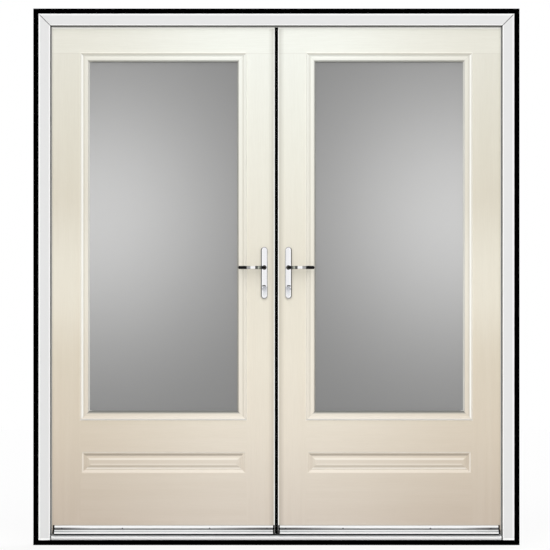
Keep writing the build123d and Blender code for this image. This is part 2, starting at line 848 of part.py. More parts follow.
def keep_mouths():
    # Half width, lowest and highest point of each hole that takes a bolt or a hook.
    mouths = []
    for z, height, thickness in bolt_sizes():
        half = height / 2 + keep_clearance
        mouths.append((thickness / 2 + keep_clearance, z - half, z + half))
    reach = hook_inset + meeting_gap
    rise = math.sqrt(hook_radius**2 - reach**2)
    drop = hook_radius * math.tan(math.radians(hook_arm_angle))
    for z in hook_heights:
        half = hook_thickness / 2 + keep_clearance
        mouths.append((half, z - drop - keep_clearance, z + rise + keep_clearance))
    return mouths


def slave_case_front():
    return leaf_meeting_x - slave_case_inset


def slave_lock_space():
    z0, z1 = faceplate_span(True)
    room = case_thickness / 2 + case_clearance
    space = edge_slot(faceplate_width / 2, z0 - 1, z1 + 1, faceplate_back_x, leaf_meeting_x + 1)
    space += edge_slot(room, case_bottom - case_clearance, case_top + case_clearance,
                       case_back_x() - case_clearance, slave_case_front() + case_clearance)
    claw_drop = hook_radius * math.sin(math.radians(hook_claw_angle))
    for half, low, high in keep_mouths():
        pocket_back = faceplate_back_x - keep_pocket_depth
        deep = claw_drop if half < latch_thickness / 3 + keep_clearance else 0
        space += edge_slot(half, low - deep, high, pocket_back, faceplate_back_x + 1)
    bore = shootbolt_radius + shootbolt_clearance
    space += rod_z(bore, -shootbolt_x, leaf_mid_y, leaf_bottom - 1, case_bottom)
    return space + rod_z(bore, -shootbolt_x, leaf_mid_y, case_top, leaf_top + 1)


def slave_faceplate():
    z0, z1 = faceplate_span(True)
    plate = edge_slot(faceplate_width / 2, z0, z1, faceplate_back_x, leaf_meeting_x)
    for half, low, high in keep_mouths():
        plate -= edge_slot(half, low, high, faceplate_back_x - 1, leaf_meeting_x + 1)
    return plate


def slave_lock_case():
    body = lock_case_body(slave_case_front())
    bore = shootbolt_radius + shootbolt_clearance
    depth = shootbolt_grip + 1
    body -= rod_z(bore, -shootbolt_x, leaf_mid_y, case_top - depth, case_top + 1)
    return body - rod_z(bore, -shootbolt_x, leaf_mid_y, case_bottom - 1, case_bottom + depth)


def shootbolt(z0, z1):
    rod = rod_z(shootbolt_radius, shootbolt_x, leaf_mid_y, z0, z1)
    return chamfer(rod.edges().filter_by(GeomType.CIRCLE), 1)


def shootbolt_top():
    return shootbolt(case_top - shootbolt_grip, leaf_top - shootbolt_recess)


def shootbolt_bottom():
    return shootbolt(leaf_bottom + shootbolt_recess, case_bottom + shootbolt_grip)


def meeting_seal():
    y0 = leaf_face_y + meeting_seal_setback
    x0 = leaf_meeting_x
    return block(x0, x0 + meeting_seal_cover, y0, y0 + meeting_seal_depth, leaf_bottom, leaf_top)


# Weatherbar


def weatherbar_ends():
    return seen_left + weatherbar_hinge_gap, leaf_meeting_x - weatherbar_meeting_gap


def along_x(points, x0, x1):
    plane = Plane(origin=(x0, leaf_face_y, leaf_bottom), x_dir=(0, 1, 0), z_dir=(1, 0, 0))
    return extrude(plane * outline(points), amount=x1 - x0)


def weatherbar():
    # Flange on the leaf with a screw groove, then a blade that slopes out to a drip nose.
    top, reach, wall = weatherbar_height, -weatherbar_reach, weatherbar_wall
    front = -weatherbar_flange
    groove_top = top - weatherbar_height * 0.36
    groove_low = groove_top - weatherbar_groove_height
    groove_y = front + weatherbar_groove_depth
    points = [
        (0, top), (front + 1.5, top), (front, top - 1.5),
        (front, groove_top), (groove_y, groove_top),
        (groove_y, groove_low), (front, groove_low),
        (reach + 1, weatherbar_nose + 1), (reach, weatherbar_nose), (reach, 0), (reach + wall, 0),
        (reach + wall, weatherbar_nose - 1), (-wall, groove_low - wall - 1),
        (-wall, wall), (0, wall),
    ]
    x0, x1 = weatherbar_ends()
    return along_x(points, x0 + weatherbar_cap, x1 - weatherbar_cap)


def weatherbar_caps():
    top, reach, front = weatherbar_height, -weatherbar_reach, -weatherbar_flange
    points = [
        (0, top), (front + 1.5, top), (front, top - 1.5),
        (front, top - weatherbar_height * 0.36 - weatherbar_groove_height),
        (reach + 1, weatherbar_nose + 1), (reach, weatherbar_nose), (reach, 0), (0, 0),
    ]
    x0, x1 = weatherbar_ends()
    caps = (
        along_x(points, x0, x0 + weatherbar_cap),
        along_x(points, x1 - weatherbar_cap, x1),
    )
    return Compound([cap.solid() for cap in caps])


# Assembly


def frame_pieces():
    jamb = frame_jamb()
    return {
        "frame_jamb_left": jamb,
        "frame_jamb_right": mirrored(jamb),
        "frame_head": frame_head(),
        "frame_seals": frame_seals(),
        "perimeter_seal": perimeter_seal(),
        "threshold": threshold(),
        "threshold_packer": threshold_packer(),
        "shootbolt_keeps": shootbolt_keeps(),
        "hinge_frame_leaves": both_sides(hinge_group(hinge_frame_leaf)),
        "hinge_pins": both_sides(hinge_group(hinge_pin)),
    }


def leaf_pieces(lock_space):
    # What both leaves have, with the space that each one's own lock takes.
    skin, surround, pane, plate, handle = outer_skin(), cassette(), outer_pane(), backplate(), lever()
    return {
        "outer_skin": skin,
        "inner_skin": through_leaf(skin),
        "core": leaf_core(lock_space),
        "subframe": leaf_subframe(lock_space),
        "outer_cassette": surround,
        "inner_cassette": through_leaf(surround),
        "outer_pane": pane,
        "inner_pane": through_leaf(pane),
        "glass_spacer": glass_spacer(),
        "outer_backplate": plate,
        "inner_backplate": through_leaf(plate),
        "outer_lever": handle,
        "inner_lever": through_leaf(handle),
        "spindle": spindle_bar(),
        "weatherbar": weatherbar(),
        "weatherbar_caps": weatherbar_caps(),
        "hinge_leaves": hinge_group(hinge_door_leaf),
    }


def master_pieces():
    pieces = leaf_pieces(master_lock_space())
    low_hook, high_hook = (hook(z) for z in hook_heights)
    pieces |= {
        "faceplate": master_faceplate(),
        "lock_case": master_lock_case(),
        "latch": latch(),
        "deadbolt": deadbolt(),
        "latch_cam": latch_cam(),
        "drive_rail": drive_rail(),
        "lower_hook": low_hook,
        "upper_hook": high_hook,
        "cylinder": cylinder(True),
        "thumbturn": thumbturn(),
    }
    return {"master_" + name: shape for name, shape in pieces.items()}


def slave_pieces():
    pieces = leaf_pieces(slave_lock_space())
    pieces |= {
        "faceplate": slave_faceplate(),
        "lock_case": slave_lock_case(),
        "cylinder": cylinder(False),
        "meeting_seal": meeting_seal(),
    }
    pieces = {"slave_" + name: mirrored(shape) for name, shape in pieces.items()}
    pieces["slave_top_shootbolt"] = shootbolt_top()
    pieces["slave_bottom_shootbolt"] = shootbolt_bottom()
    return pieces


os.makedirs("parts", exist_ok=True)
for name, shape in (frame_pieces() | master_pieces() | slave_pieces()).items():
    export_step(shape, f"parts/{name}.step")
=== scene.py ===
import math

import bmesh
import bpy
import numpy as np
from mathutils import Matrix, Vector


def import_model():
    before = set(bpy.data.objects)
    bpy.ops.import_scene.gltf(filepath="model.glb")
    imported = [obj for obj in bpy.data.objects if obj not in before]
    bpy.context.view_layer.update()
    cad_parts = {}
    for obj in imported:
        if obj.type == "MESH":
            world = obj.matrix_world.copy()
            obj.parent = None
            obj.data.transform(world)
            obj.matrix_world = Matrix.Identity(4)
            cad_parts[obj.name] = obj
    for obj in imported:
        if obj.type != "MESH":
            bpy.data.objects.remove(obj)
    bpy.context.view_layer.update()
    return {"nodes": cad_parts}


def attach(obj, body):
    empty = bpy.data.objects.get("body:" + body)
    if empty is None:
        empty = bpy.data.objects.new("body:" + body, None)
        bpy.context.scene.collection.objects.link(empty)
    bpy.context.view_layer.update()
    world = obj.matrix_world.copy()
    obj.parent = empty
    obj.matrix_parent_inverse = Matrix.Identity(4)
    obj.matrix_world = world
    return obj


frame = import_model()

nodes = frame["nodes"]
scene = bpy.context.scene
print("frame loaded with", len(nodes), "nodes")

# small helpers for node trees


def put(tree, socket, value):
    # a node's socket is linked and a plain value is set; a colour of three numbers becomes opaque
    if isinstance(value, bpy.types.NodeSocket):
        tree.links.new(value, socket)
    elif socket.type == "RGBA" and len(value) == 3:
        socket.default_value = (*value, 1.0)
    else:
        socket.default_value = value


def addNode(tree, kind, inputs=None, **settings):
    node = tree.nodes.new("ShaderNode" + kind)
    for key, value in settings.items():
        setattr(node, key, value)
    for key, value in (inputs or {}).items():
        put(tree, node.inputs[key], value)
    return node


def calc(operation, *values):
    # the tree is the one that holds the sockets among the values
    tree = next(value.id_data for value in values if isinstance(value, bpy.types.NodeSocket))
    return addNode(tree, "Math", dict(enumerate(values)), operation=operation).outputs[0]


def chain(operation, values):
    result = values[0]
    for value in values[1:]:
        result = calc(operation, result, value)
    return result


def times(*values):
    return chain("MULTIPLY", values)


def most(*values):
    return chain("MAXIMUM", values)


def least(*values):
    return chain("MINIMUM", values)


def minus(a, b):
    return calc("SUBTRACT", a, b)


def above(a, b):
    return calc("GREATER_THAN", a, b)


def below(a, b):
    return calc("LESS_THAN", a, b)


def scaled(value, factor, start):
    # the value times the factor, plus the start
    return calc("MULTIPLY_ADD", value, factor, start)


def remap(value, low, high, toLow=0.0, toHigh=1.0):
    node = addNode(value.id_data, "MapRange", interpolation_type="SMOOTHSTEP", inputs={
        "Value": value, "From Min": low, "From Max": high, "To Min": toLow, "To Max": toHigh})
    return node.outputs["Result"]


def fade(value, low, high):
    return remap(value, low, high, 1.0, 0.0)


def past(value, place, soft):
    # one beyond the place, nothing before it
    return remap(value, place - soft, place + soft)


def before(value, place, soft):
    return fade(value, place - soft, place + soft)


def blendColour(tree, factor, a, b, mode="MIX"):
    # a mix node's colour sockets are its inputs 6 and 7
    node = addNode(tree, "Mix", {0: factor, 6: a, 7: b}, data_type="RGBA", blend_type=mode)
    return node.outputs[2]


def noise(tree, vector, scale, detail, roughness=0.5, distortion=0.0):
    node = addNode(tree, "TexNoise", {
        "Vector": vector, "Scale": scale, "Detail": detail, "Roughness": roughness, "Distortion": distortion})
    return node.outputs["Fac"]


def layered(tree, colour, *coats):
    # coats laid one over another, each with a mask, a share and a colour
    for mask, share, coat in coats:
        colour = blendColour(tree, times(mask, share), colour, coat)
    return colour


def makeRamp(tree, value, stops, interpolation="LINEAR"):
    ramp = addNode(tree, "ValToRGB", {"Fac": value})
    ramp.color_ramp.interpolation = interpolation
    elements = ramp.color_ramp.elements
    while len(elements) < len(stops):
        elements.new(0.5)
    for element, (position, colour) in zip(elements, stops):
        element.position = position
        element.color = (*colour, 1.0)
    return ramp.outputs["Color"]


def newGroup(name, inputs, outputs):
    group = bpy.data.node_groups.new(name, "ShaderNodeTree")
    for label, kind, start in inputs:
        socket = group.interface.new_socket(label, in_out="INPUT", socket_type=kind)
        if start is not None:
            socket.default_value = start
    for label, kind in outputs:
        group.interface.new_socket(label, in_out="OUTPUT", socket_type=kind)
    return group, group.nodes.new("NodeGroupInput").outputs, group.nodes.new("NodeGroupOutput").inputs


def useGroup(tree, group, **inputs):
    return addNode(tree, "Group", inputs, node_tree=group).outputs


# effects that several materials share


def makeWoodGrain():
    # fine pores drawn out along the third axis, and a slow tone beneath them
    group, start, end = newGroup(
        "moulded grain",
        [("Vector", "NodeSocketVector", None), ("Across", "NodeSocketFloat", 420.0),
         ("Along", "NodeSocketFloat", 14.0)],
        [("Height", "NodeSocketFloat"), ("Tone", "NodeSocketFloat")])
    stretch = addNode(group, "CombineXYZ", {
        "X": start["Across"], "Y": start["Across"], "Z": start["Along"]})
    drawn = addNode(group, "VectorMath", operation="MULTIPLY", inputs={
        0: start["Vector"], 1: stretch.outputs[0]})
    pores = noise(group, drawn.outputs[0], 1.0, 4.0, 0.62, 0.35)
    put(group, end["Height"], remap(pores, 0.34, 0.62))
    put(group, end["Tone"], noise(group, drawn.outputs[0], 0.09, 3.0))
    return group


def makeLineMask():
    # one where a value is nearer to the centre than the half width, fading over the softness
    group, start, end = newGroup(
        "line mask",
        [("Value", "NodeSocketFloat", 0.0), ("Centre", "NodeSocketFloat", 0.0),
         ("Half", "NodeSocketFloat", 0.001), ("Soft", "NodeSocketFloat", 0.001)],
        [("Mask", "NodeSocketFloat")])
    away = calc("ABSOLUTE", minus(start["Value"], start["Centre"]))
    edge = calc("ADD", start["Half"], start["Soft"])
    put(group, end["Mask"], fade(away, start["Half"], edge))
    return group


def makeEdgeWearAndSheen():
    # where a rounded normal leaves the true one, the surface has an edge: on coated parts the coat has
    # thinned there, elsewhere it carries a painted highlight
    group, start, end = newGroup(
        "edge wear and sheen",
        [("Radius", "NodeSocketFloat", 0.002), ("Gain", "NodeSocketFloat", 4.0)],
        [("Mask", "NodeSocketFloat")])
    rounded = addNode(group, "Bevel", {"Radius": start["Radius"]}, samples=4)
    plain = addNode(group, "NewGeometry")
    match = addNode(group, "VectorMath", operation="DOT_PRODUCT", inputs={
        0: rounded.outputs["Normal"], 1: plain.outputs["Normal"]})
    bent = minus(1.0, match.outputs["Value"])
    put(group, end["Mask"], least(times(bent, start["Gain"]), 1.0))
    return group


def makeDust():
    # patches of a cloud pattern broken up by a finer one
    group, start, end = newGroup(
        "dust",
        [("Vector", "NodeSocketVector", None), ("Scale", "NodeSocketFloat", 6.0),
         ("Cover", "NodeSocketFloat", 0.5)],
        [("Mask", "NodeSocketFloat")])
    cloud = noise(group, start["Vector"], start["Scale"], 5.0, 0.6)
    fine = noise(group, start["Vector"], times(start["Scale"], 23.0), 3.0, 0.7)
    both = scaled(fine, 0.35, cloud)
    low = minus(1.1, start["Cover"])
    put(group, end["Mask"], remap(both, low, calc("ADD", low, 0.35)))
    return group


# the cream's painted shade: a ramp that darkens towards the foot, and a side shade held back by a painted lit
# band at mid height
creamShadeSettings = {
    "perMetre": 0.47,  # share of the ramp that a metre of height takes
    "stops": (
        (0.04, (0.650, 0.573, 0.492)), (0.21, (0.778, 0.708, 0.600)), (0.35, (0.812, 0.758, 0.643)),
        (0.55, (0.794, 0.756, 0.649)), (0.76, (0.844, 0.838, 0.750)), (0.93, (0.892, 0.909, 0.844))),
    "sideShade": (0.846, 0.812, 0.772), "sideSpan": (0.10, 0.86),
    "litHeight": 1.06, "litHalf": 0.05, "litSoft": 0.36, "litShare": 0.85,
}


def makePaintedCreamShade():
    # cream with painted shade: darker and warmer towards the foot of the door and towards the frame, with a
    # painted lit band at mid height on the sides
    group, start, end = newGroup(
        "cream with painted shade",
        [("Vector", "NodeSocketVector", None)],
        [("Color", "NodeSocketColor")])
    s = creamShadeSettings
    axes = addNode(group, "SeparateXYZ", {"Vector": start["Vector"]}).outputs
    # painted shade: the ramp darkens the cream towards the foot of the door
    cream = makeRamp(group, times(axes["Z"], s["perMetre"]), s["stops"])
    # painted shade towards the frame, weaker in a painted lit band at mid height
    side = remap(calc("ABSOLUTE", axes["X"]), *s["sideSpan"])
    away = calc("ABSOLUTE", minus(axes["Z"], s["litHeight"]))
    litBand = remap(away, s["litHalf"], s["litSoft"], s["litShare"], 0.0)
    share = times(side, minus(1.0, litBand))
    shade = blendColour(group, share, (1.0, 1.0, 1.0), s["sideShade"])
    put(group, end["Color"], blendColour(group, 1.0, cream, shade, "MULTIPLY"))
    return group


woodGrain = makeWoodGrain()
lineMask = makeLineMask()
edgeWearAndSheen = makeEdgeWearAndSheen()
dust = makeDust()
paintedCreamShade = makePaintedCreamShade()
print("shared node groups ready")


def band(tree, value, centre, half, soft):
    return useGroup(tree, lineMask, Value=value, Centre=centre, Half=half, Soft=soft)["Mask"]


def dusty(tree, place, scale, cover=0.5):
    return useGroup(tree, dust, Vector=place, Scale=scale, Cover=cover)["Mask"]


# edges for wear on coated parts and for a painted highlight on the rest
def roundedEdges(tree, radius, gain):
    return useGroup(tree, edgeWearAndSheen, Radius=radius, Gain=gain)["Mask"]


def hairlines(tree, place, across=2600.0, along=60.0):
    return useGroup(tree, woodGrain, Vector=place, Across=across, Along=along)["Height"]


# one maker for each finish; in its settings a coat is a share and a colour, rough is how much the roughness
# varies and its least value, and relief is a bump's strength and distance


def newMaterial(name):
    material = bpy.data.materials.new(name)
    material.use_nodes = True
    tree = material.node_tree
    tree.nodes.clear()
    shader = addNode(tree, "BsdfPrincipled")
    output = addNode(tree, "OutputMaterial")
    tree.links.new(shader.outputs["BSDF"], output.inputs["Surface"])
    place = addNode(tree, "TexCoord").outputs["Object"]
    axes = addNode(tree, "SeparateXYZ", {"Vector": place}).outputs
    return material, tree, shader, place, axes


def finish(tree, shader, colour, roughness=None, height=None, strength=0.3, distance=0.001, fixed=()):
    # fixed holds constants for the shader's own sockets
    put(tree, shader.inputs["Base Color"], colour)
    if roughness is not None:
        put(tree, shader.inputs["Roughness"], roughness)
    if height is not None:
        bump = addNode(tree, "Bump", {
            "Height": height, "Strength": strength, "Distance": distance})
        put(tree, shader.inputs["Normal"], bump.outputs["Normal"])
    for name, value in fixed:
        shader.inputs[name].default_value = value


metal = (("Metallic", 1.0),)
cassetteSize = {"left": 0.7785, "right": 0.119, "bottom": 0.497, "top": 1.955, "width": 0.035}
frameSize = {"halfWidth": 0.945, "top": 2.110}


def fromMiddle(axes):
    return calc("ABSOLUTE", axes["X"])


def frameInset(axes):
    # how far in from the frame's outside, by its side, by its top and by the nearer of the two
    fromSide = minus(frameSize["halfWidth"], fromMiddle(axes))
    fromTop = minus(frameSize["top"], axes["Z"])
    return fromSide, fromTop, least(fromSide, fromTop)


def acrossDoor(tree, axes):
    # height and width change places, so that a grain runs across the door
    return addNode(tree, "CombineXYZ", {"X": axes["Z"], "Y": axes["Y"], "Z": axes["X"]}).outputs[0]


panelFinish = {
    "left": 0.7725, "right": 0.125, "low": 0.286, "high": 0.367, "margin": 0.002,
    # each painted shade or highlight line: the edge it is measured from, its centre, half width, softness and
    # share
    "dark": (("high", 0.0106, 0.0036, 0.0026, 0.54), ("low", 0.0270, 0.0040, 0.0030, 0.16),
             ("ends", 0.0140, 0.0035, 0.0030, 0.08)),
    "light": (("high", 0.0270, 0.0020, 0.0030, 0.40), ("high", 0.0008, 0.0020, 0.0014, 0.50),
              ("low", 0.0060, 0.0030, 0.0050, 0.26), ("low", 0.0175, 0.0028, 0.0012, 0.70),
              ("low", 0.0338, 0.0012, 0.0010, 0.45), ("left", 0.0028, 0.0012, 0.0020, 0.70)),
}


def paintedPanelShading(tree, side, height):
    # painted shade under the panel's upper edges, painted highlights on its lower and outer ones
    p = panelFinish
    fromHigh, fromLow = minus(p["high"], height), minus(height, p["low"])
    fromLeft = minus(p["left"], side)
    ends = least(fromLeft, minus(side, p["right"]))
    inside = times(above(fromHigh, -p["margin"]), above(fromLow, -p["margin"]))
    endPart = times(inside, below(ends, least(fromHigh, fromLow)))
    parts = {
        "high": (fromHigh, times(inside, above(ends, fromHigh))),
        "low": (fromLow, times(inside, above(ends, fromLow))),
        "ends": (ends, endPart), "left": (fromLeft, endPart)}

    def strongest(lines):
        masks = []
        for edge, centre, half, soft, share in lines:
            distance, part = parts[edge]
            masks.append(times(band(tree, distance, centre, half, soft), part, share))
        return most(*masks)

    return strongest(p["dark"]), strongest(p["light"])


skinFinish = {
    "grainAcross": 430.0, "grainAlong": 13.0, "railStart": 1.9525,
    # pressed lines: half width and softness at the rail's joint, with the centre first on the ridges
    "railJoint": (0.0006, 0.0016), "meetingRidge": (0.0265, 0.0006, 0.0020),
    "frameRidge": (0.8855, 0.0010, 0.0022), "ridgeShare": 0.45, "headLine": (2.0535, 0.0020, 0.0020),
    "edgeSpan": (0.010, 0.034), "edgeShade": (0.775, 0.765, 0.755),
    "whiteEdge": (0.0101, 0.0004), "haloSpan": (0.0008, 0.0044),
    "haloShare": 0.40, "haloUnder": 0.45, "soilPatches": (2.2, 0.42),
    "rail": (0.12, (0.94, 0.95, 0.88)), "pores": (0.045, (0.42, 0.36, 0.28)),
    "slow": (0.04, (1.0, 0.98, 0.92)), "lines": (0.14, (0.40, 0.35, 0.28)),
    "soil": (0.04, (0.50, 0.42, 0.33)), "white": (1.0, (0.97, 0.97, 0.95)),
    "head": (0.80, (1.0, 0.995, 0.95)), "halo": (1.0, 0.98, 0.93),
    "panelShade": (1.0, (0.30, 0.25, 0.20)), "raised": (1.0, (1.0, 0.95, 0.87)),
    "edgeSheen": (0.22, (1.0, 0.96, 0.88)), "edgeSize": (0.004, 3.0), "slowRange": (0.35, 0.70),
    "rough": (0.14, 0.40), "grainRelief": -0.35, "relief": (0.35, 0.0006), "ior": 1.46,
}


def makeSkin():
    # cream skin whose moulded grain turns along the rails
    material, tree, shader, place, axes = newMaterial("moulded skin")
    s, c = skinFinish, cassetteSize
    side, height = fromMiddle(axes), axes["Z"]
    topRail = above(height, s["railStart"])
    underCassette = below(height, c["bottom"])
    lowRail = times(underCassette, above(side, c["right"]), below(side, c["left"]))
    way = addNode(tree, "Mix", data_type="VECTOR", inputs={
        0: most(topRail, lowRail), 4: place, 5: acrossDoor(tree, axes)})
    grain = useGroup(tree, woodGrain, Vector=way.outputs[1], Across=s["grainAcross"], Along=s["grainAlong"])
    ridges = most(band(tree, side, *s["meetingRidge"]), band(tree, side, *s["frameRidge"]))
    joint = band(tree, height, s["railStart"], *s["railJoint"])
    lines = most(joint, times(ridges, s["ridgeShare"]))
    # grain, pressed lines and soil laid over the cream's painted shade
    soiledAndShaded = layered(
        tree, useGroup(tree, paintedCreamShade, Vector=place)["Color"],
        # painted light: the top rail is painted paler
        (topRail, *s["rail"]), (remap(grain["Height"], 0.0, 1.0), *s["pores"]),
        (remap(grain["Tone"], *s["slowRange"]), *s["slow"]), (lines, *s["lines"]),
        (dusty(tree, place, *s["soilPatches"]), *s["soil"]))
    # painted shade: the skin is painted darker beside the meeting line, where its pressed edge would turn
    # away from the light
    edgeShadeMask = fade(side, *s["edgeSpan"])
    edged = blendColour(tree, edgeShadeMask, soiledAndShaded, s["edgeShade"], "MULTIPLY")
    # painted light: the skin is painted paler close round the cassette, and most of all under its sill,
    # against the shade there
    beside = most(minus(c["right"], side), minus(side, c["left"]),
                  minus(c["bottom"], height), minus(height, c["top"]))
    halo = fade(beside, *s["haloSpan"])
    haloShare = scaled(underCassette, s["haloUnder"], s["haloShare"])
    dark, light = paintedPanelShading(tree, side, height)
    colour = layered(
        tree, edged,
        (before(side, *s["whiteEdge"]), *s["white"]),
        # painted highlight in a line under the frame's head, and painted light round the cassette
        (band(tree, height, *s["headLine"]), *s["head"]), (halo, haloShare, s["halo"]),
        # painted shade and highlights round the panel, and a painted highlight on rounded edges
        (dark, *s["panelShade"]), (light, *s["raised"]), (roundedEdges(tree, *s["edgeSize"]), *s["edgeSheen"]))
    pressed = minus(times(grain["Height"], s["grainRelief"]), lines)
    finish(tree, shader, colour, scaled(grain["Height"], *s["rough"]), pressed, *s["relief"],
           (("IOR", s["ior"]),))
    return material


cassetteFinish = {
    # the depth across a member, in shares of its width and of the relief
    "relief": (1.0, 0.0036), "rough": (0.12, 0.32), "mitreRelief": -0.06, "smearRelief": 0.012,
    "profile": ((0.0, 1.0), (0.20, 0.36), (0.36, 0.42), (0.58, 0.90), (0.80, 0.90), (1.0, 0.25)),
    # three values are those of the side members, the sill and the top
    "flatness": (1.0, 0.5, 1.0), "coveAt": (0.0135, 0.0135, 0.0042), "coveShare": (0.24, 0.04, 0.60),
    "coveLine": (0.0020, 0.0034), "stepWidth": (0.0060, 0.0060, 0.0105), "stepEnd": 0.0022,
    "stepShare": 0.22, "sillStepWidth": 0.0140, "sillStepEnd": 0.0036, "sillStepShare": 0.92,
    "rimAt": (0.0080, 0.0025, 0.0030), "lipFrom": 0.0060, "lipTo": 0.0030, "lipEnd": 0.0050,
    "lipShare": 0.75, "arrisSpan": (0.0008, 0.0026), "arrisMore": (0.0, 0.0024, 0.0),
    "arrisShare": (0.30, 0.90, 0.30), "mitreLine": (0.0004, 0.0010), "smearScale": 9.0,
    "edgeSize": (0.002, 2.0), "paleShare": 0.16, "pale": (0.96, 0.95, 0.90), "rim": (0.90, (1.0, 0.995, 0.95)),
    "cove": (0.45, 0.42, 0.34), "step": (1.0, (0.15, 0.16, 0.15)), "caughtHighlight": (1.0, (1.0, 0.99, 0.95)),
    "edgeSheen": (0.15, (1.0, 0.985, 0.94)), "mitre": (0.22, (0.42, 0.38, 0.31)),
}


def makeCassette():
    material, tree, shader, place, axes = newMaterial("cassette moulding")
    f, size = cassetteFinish, cassetteSize
    width = size["width"]
    side = fromMiddle(axes)
    fromLeft = minus(size["left"], side)
    fromSide = least(fromLeft, minus(side, size["right"]))
    fromLow = minus(axes["Z"], size["bottom"])
    fromEnd = least(fromLow, minus(size["top"], axes["Z"]))
    inward = least(fromSide, fromEnd)
    onSide = below(fromSide, fromEnd)
    onSill = below(fromLow, fromSide)
    onTop = minus(minus(1.0, onSide), onSill)

    def byMember(atSide, atSill, atTop):
        return scaled(onTop, atTop - atSide, scaled(onSill, atSill - atSide, atSide))

    # the moulding dips to a cove and rises to a second bead beside the glass
    profile = makeRamp(tree, calc("DIVIDE", inward, width),
                       [(position, (level,) * 3) for position, level in f["profile"]], "EASE")
    mitre = band(tree, minus(fromSide, fromEnd), 0.0, *f["mitreLine"])
    # painted highlight along the rim of the outer side member
    rim = times(band(tree, fromLeft, *f["rimAt"]), onSide)
    # painted shade in the cove
    cove = band(tree, inward, byMember(*f["coveAt"]), *f["coveLine"])
    # painted shade on the step down to the glass, strongest on the sill
    stepFrom = byMember(*(width - step for step in f["stepWidth"]))
    step = times(remap(inward, stepFrom, width - f["stepEnd"]), f["stepShare"])
    sillStep = remap(fromLow, width - f["sillStepWidth"], width - f["sillStepEnd"])
    # painted highlight on the lip beside the frame, as from light across the glass, and on the outermost
    # arris all round
    lip = times(remap(fromLeft, width - f["lipFrom"], width - f["lipTo"]), onSide,
                below(fromLeft, width + f["lipEnd"]), f["lipShare"])
    fromArris = minus(inward, byMember(*f["arrisMore"]))
    arris = times(fade(fromArris, *f["arrisSpan"]), byMember(*f["arrisShare"]))
    colour = layered(
        tree, blendColour(tree, f["paleShare"], useGroup(tree, paintedCreamShade, Vector=place)["Color"], f["pale"]),
        (rim, *f["rim"]), (cove, byMember(*f["coveShare"]), f["cove"]),
        (most(step, times(onSill, sillStep, f["sillStepShare"])), *f["step"]),
        # painted highlights on the lip, the arris and rounded edges
        (most(lip, arris), *f["caughtHighlight"]), (roundedEdges(tree, *f["edgeSize"]), *f["edgeSheen"]),
        (mitre, *f["mitre"]))
    smear = dusty(tree, place, f["smearScale"])
    fine = scaled(mitre, f["mitreRelief"], times(smear, f["smearRelief"]))
    level = scaled(minus(profile, 1.0), byMember(*f["flatness"]), fine)
    finish(tree, shader, colour, scaled(smear, *f["rough"]), level, *f["relief"])
    return material


frameFinish = {
    "outerFrom": 0.0030, "outerTo": 0.0070, "innerHighlight": 0.0424, "highlightSoft": 0.0008,
    "footHighlight": 0.0275, "footSoft": 0.0006, "sight": 0.0470, "seamFrom": 0.0045,
    "seamLine": (0.0014, 0.0012), "face": (0.744, 0.744, 0.744),
    # bead: the colour of the painted highlights
    "bead": (1.0, (0.975, 0.977, 0.977)), "smear": (0.03, (0.60, 0.59, 0.56)),
    "seam": (0.92, (0.06, 0.06, 0.06)), "smearScale": 5.0, "smearRelief": 0.05,
    "rough": (0.10, 0.30), "relief": (0.4, 0.0004),
}


def makeFrame():
    # white section with a painted highlight along both edges and along the foot, and a black seam in each
    # mitre
    material, tree, shader, place, axes = newMaterial("white frame")
    f = frameFinish
    fromSide, fromTop, inward = frameInset(axes)
    outer = times(past(inward, f["outerFrom"], f["highlightSoft"]),
                  before(inward, f["outerTo"], f["highlightSoft"]))
    # painted highlights along both edges and along the foot
    edgeHighlights = most(outer, past(inward, f["innerHighlight"], f["highlightSoft"]),
                 before(axes["Z"], f["footHighlight"], f["footSoft"]))
    mitre = band(tree, minus(fromSide, fromTop), 0.0, *f["seamLine"])
    seam = times(mitre, below(inward, f["sight"]), above(inward, f["seamFrom"]))
    smear = dusty(tree, place, f["smearScale"])
    colour = layered(tree, f["face"], (smear, *f["smear"]), (edgeHighlights, *f["bead"]), (seam, *f["seam"]))
    height = minus(times(smear, f["smearRelief"]), seam)
    finish(tree, shader, colour, scaled(smear, *f["rough"]), height, *f["relief"])
    return material


blackFinish = {"cover": 0.45, "vary": 0.15, "relief": (0.15, 0.0003)}


def finishBlack(tree, shader, colour, bloom, roughness, gloss):
    finish(tree, shader, colour, scaled(bloom, blackFinish["vary"], roughness), bloom,
           *blackFinish["relief"], (("Specular IOR Level", gloss),))


def makeBlack(name, base, lift, roughness, scale, gloss=0.03):
    # a dense black with a faint mottling and a fine tooth
    material, tree, shader, place, axes = newMaterial(name)
    bloom = dusty(tree, place, scale, blackFinish["cover"])
    finishBlack(tree, shader, blendColour(tree, bloom, (base,) * 3, (lift,) * 3), bloom, roughness, gloss)
    return material


gasketFinish = {
    "lipHighlightSpan": (0.0500, 0.0516), "lipEnd": 0.060,
    "foot": (0.004, 0.004, 0.004), "bloom": (0.009, 0.009, 0.009), "lip": (0.52, 0.52, 0.50),
    "bloomScale": 25.0, "roughness": 0.70, "gloss": 0.10,
}


def makeGasket():
    # painted highlight: the lip beside the leaf is painted paler than the foot in the frame, for the light it
    # catches
    material, tree, shader, place, axes = newMaterial("gasket rubber")
    g = gasketFinish
    inward = frameInset(axes)[2]
    lip = times(remap(inward, *g["lipHighlightSpan"]), below(inward, g["lipEnd"]))
    bloom = dusty(tree, place, g["bloomScale"], blackFinish["cover"])
    colour = blendColour(tree, lip, blendColour(tree, bloom, g["foot"], g["bloom"]), g["lip"])
    finishBlack(tree, shader, colour, bloom, g["roughness"], g["gloss"])
    return material


metalFinish = {"tarnish": 0.25, "smearPart": 0.5, "highest": 1.5, "distance": 0.0002}


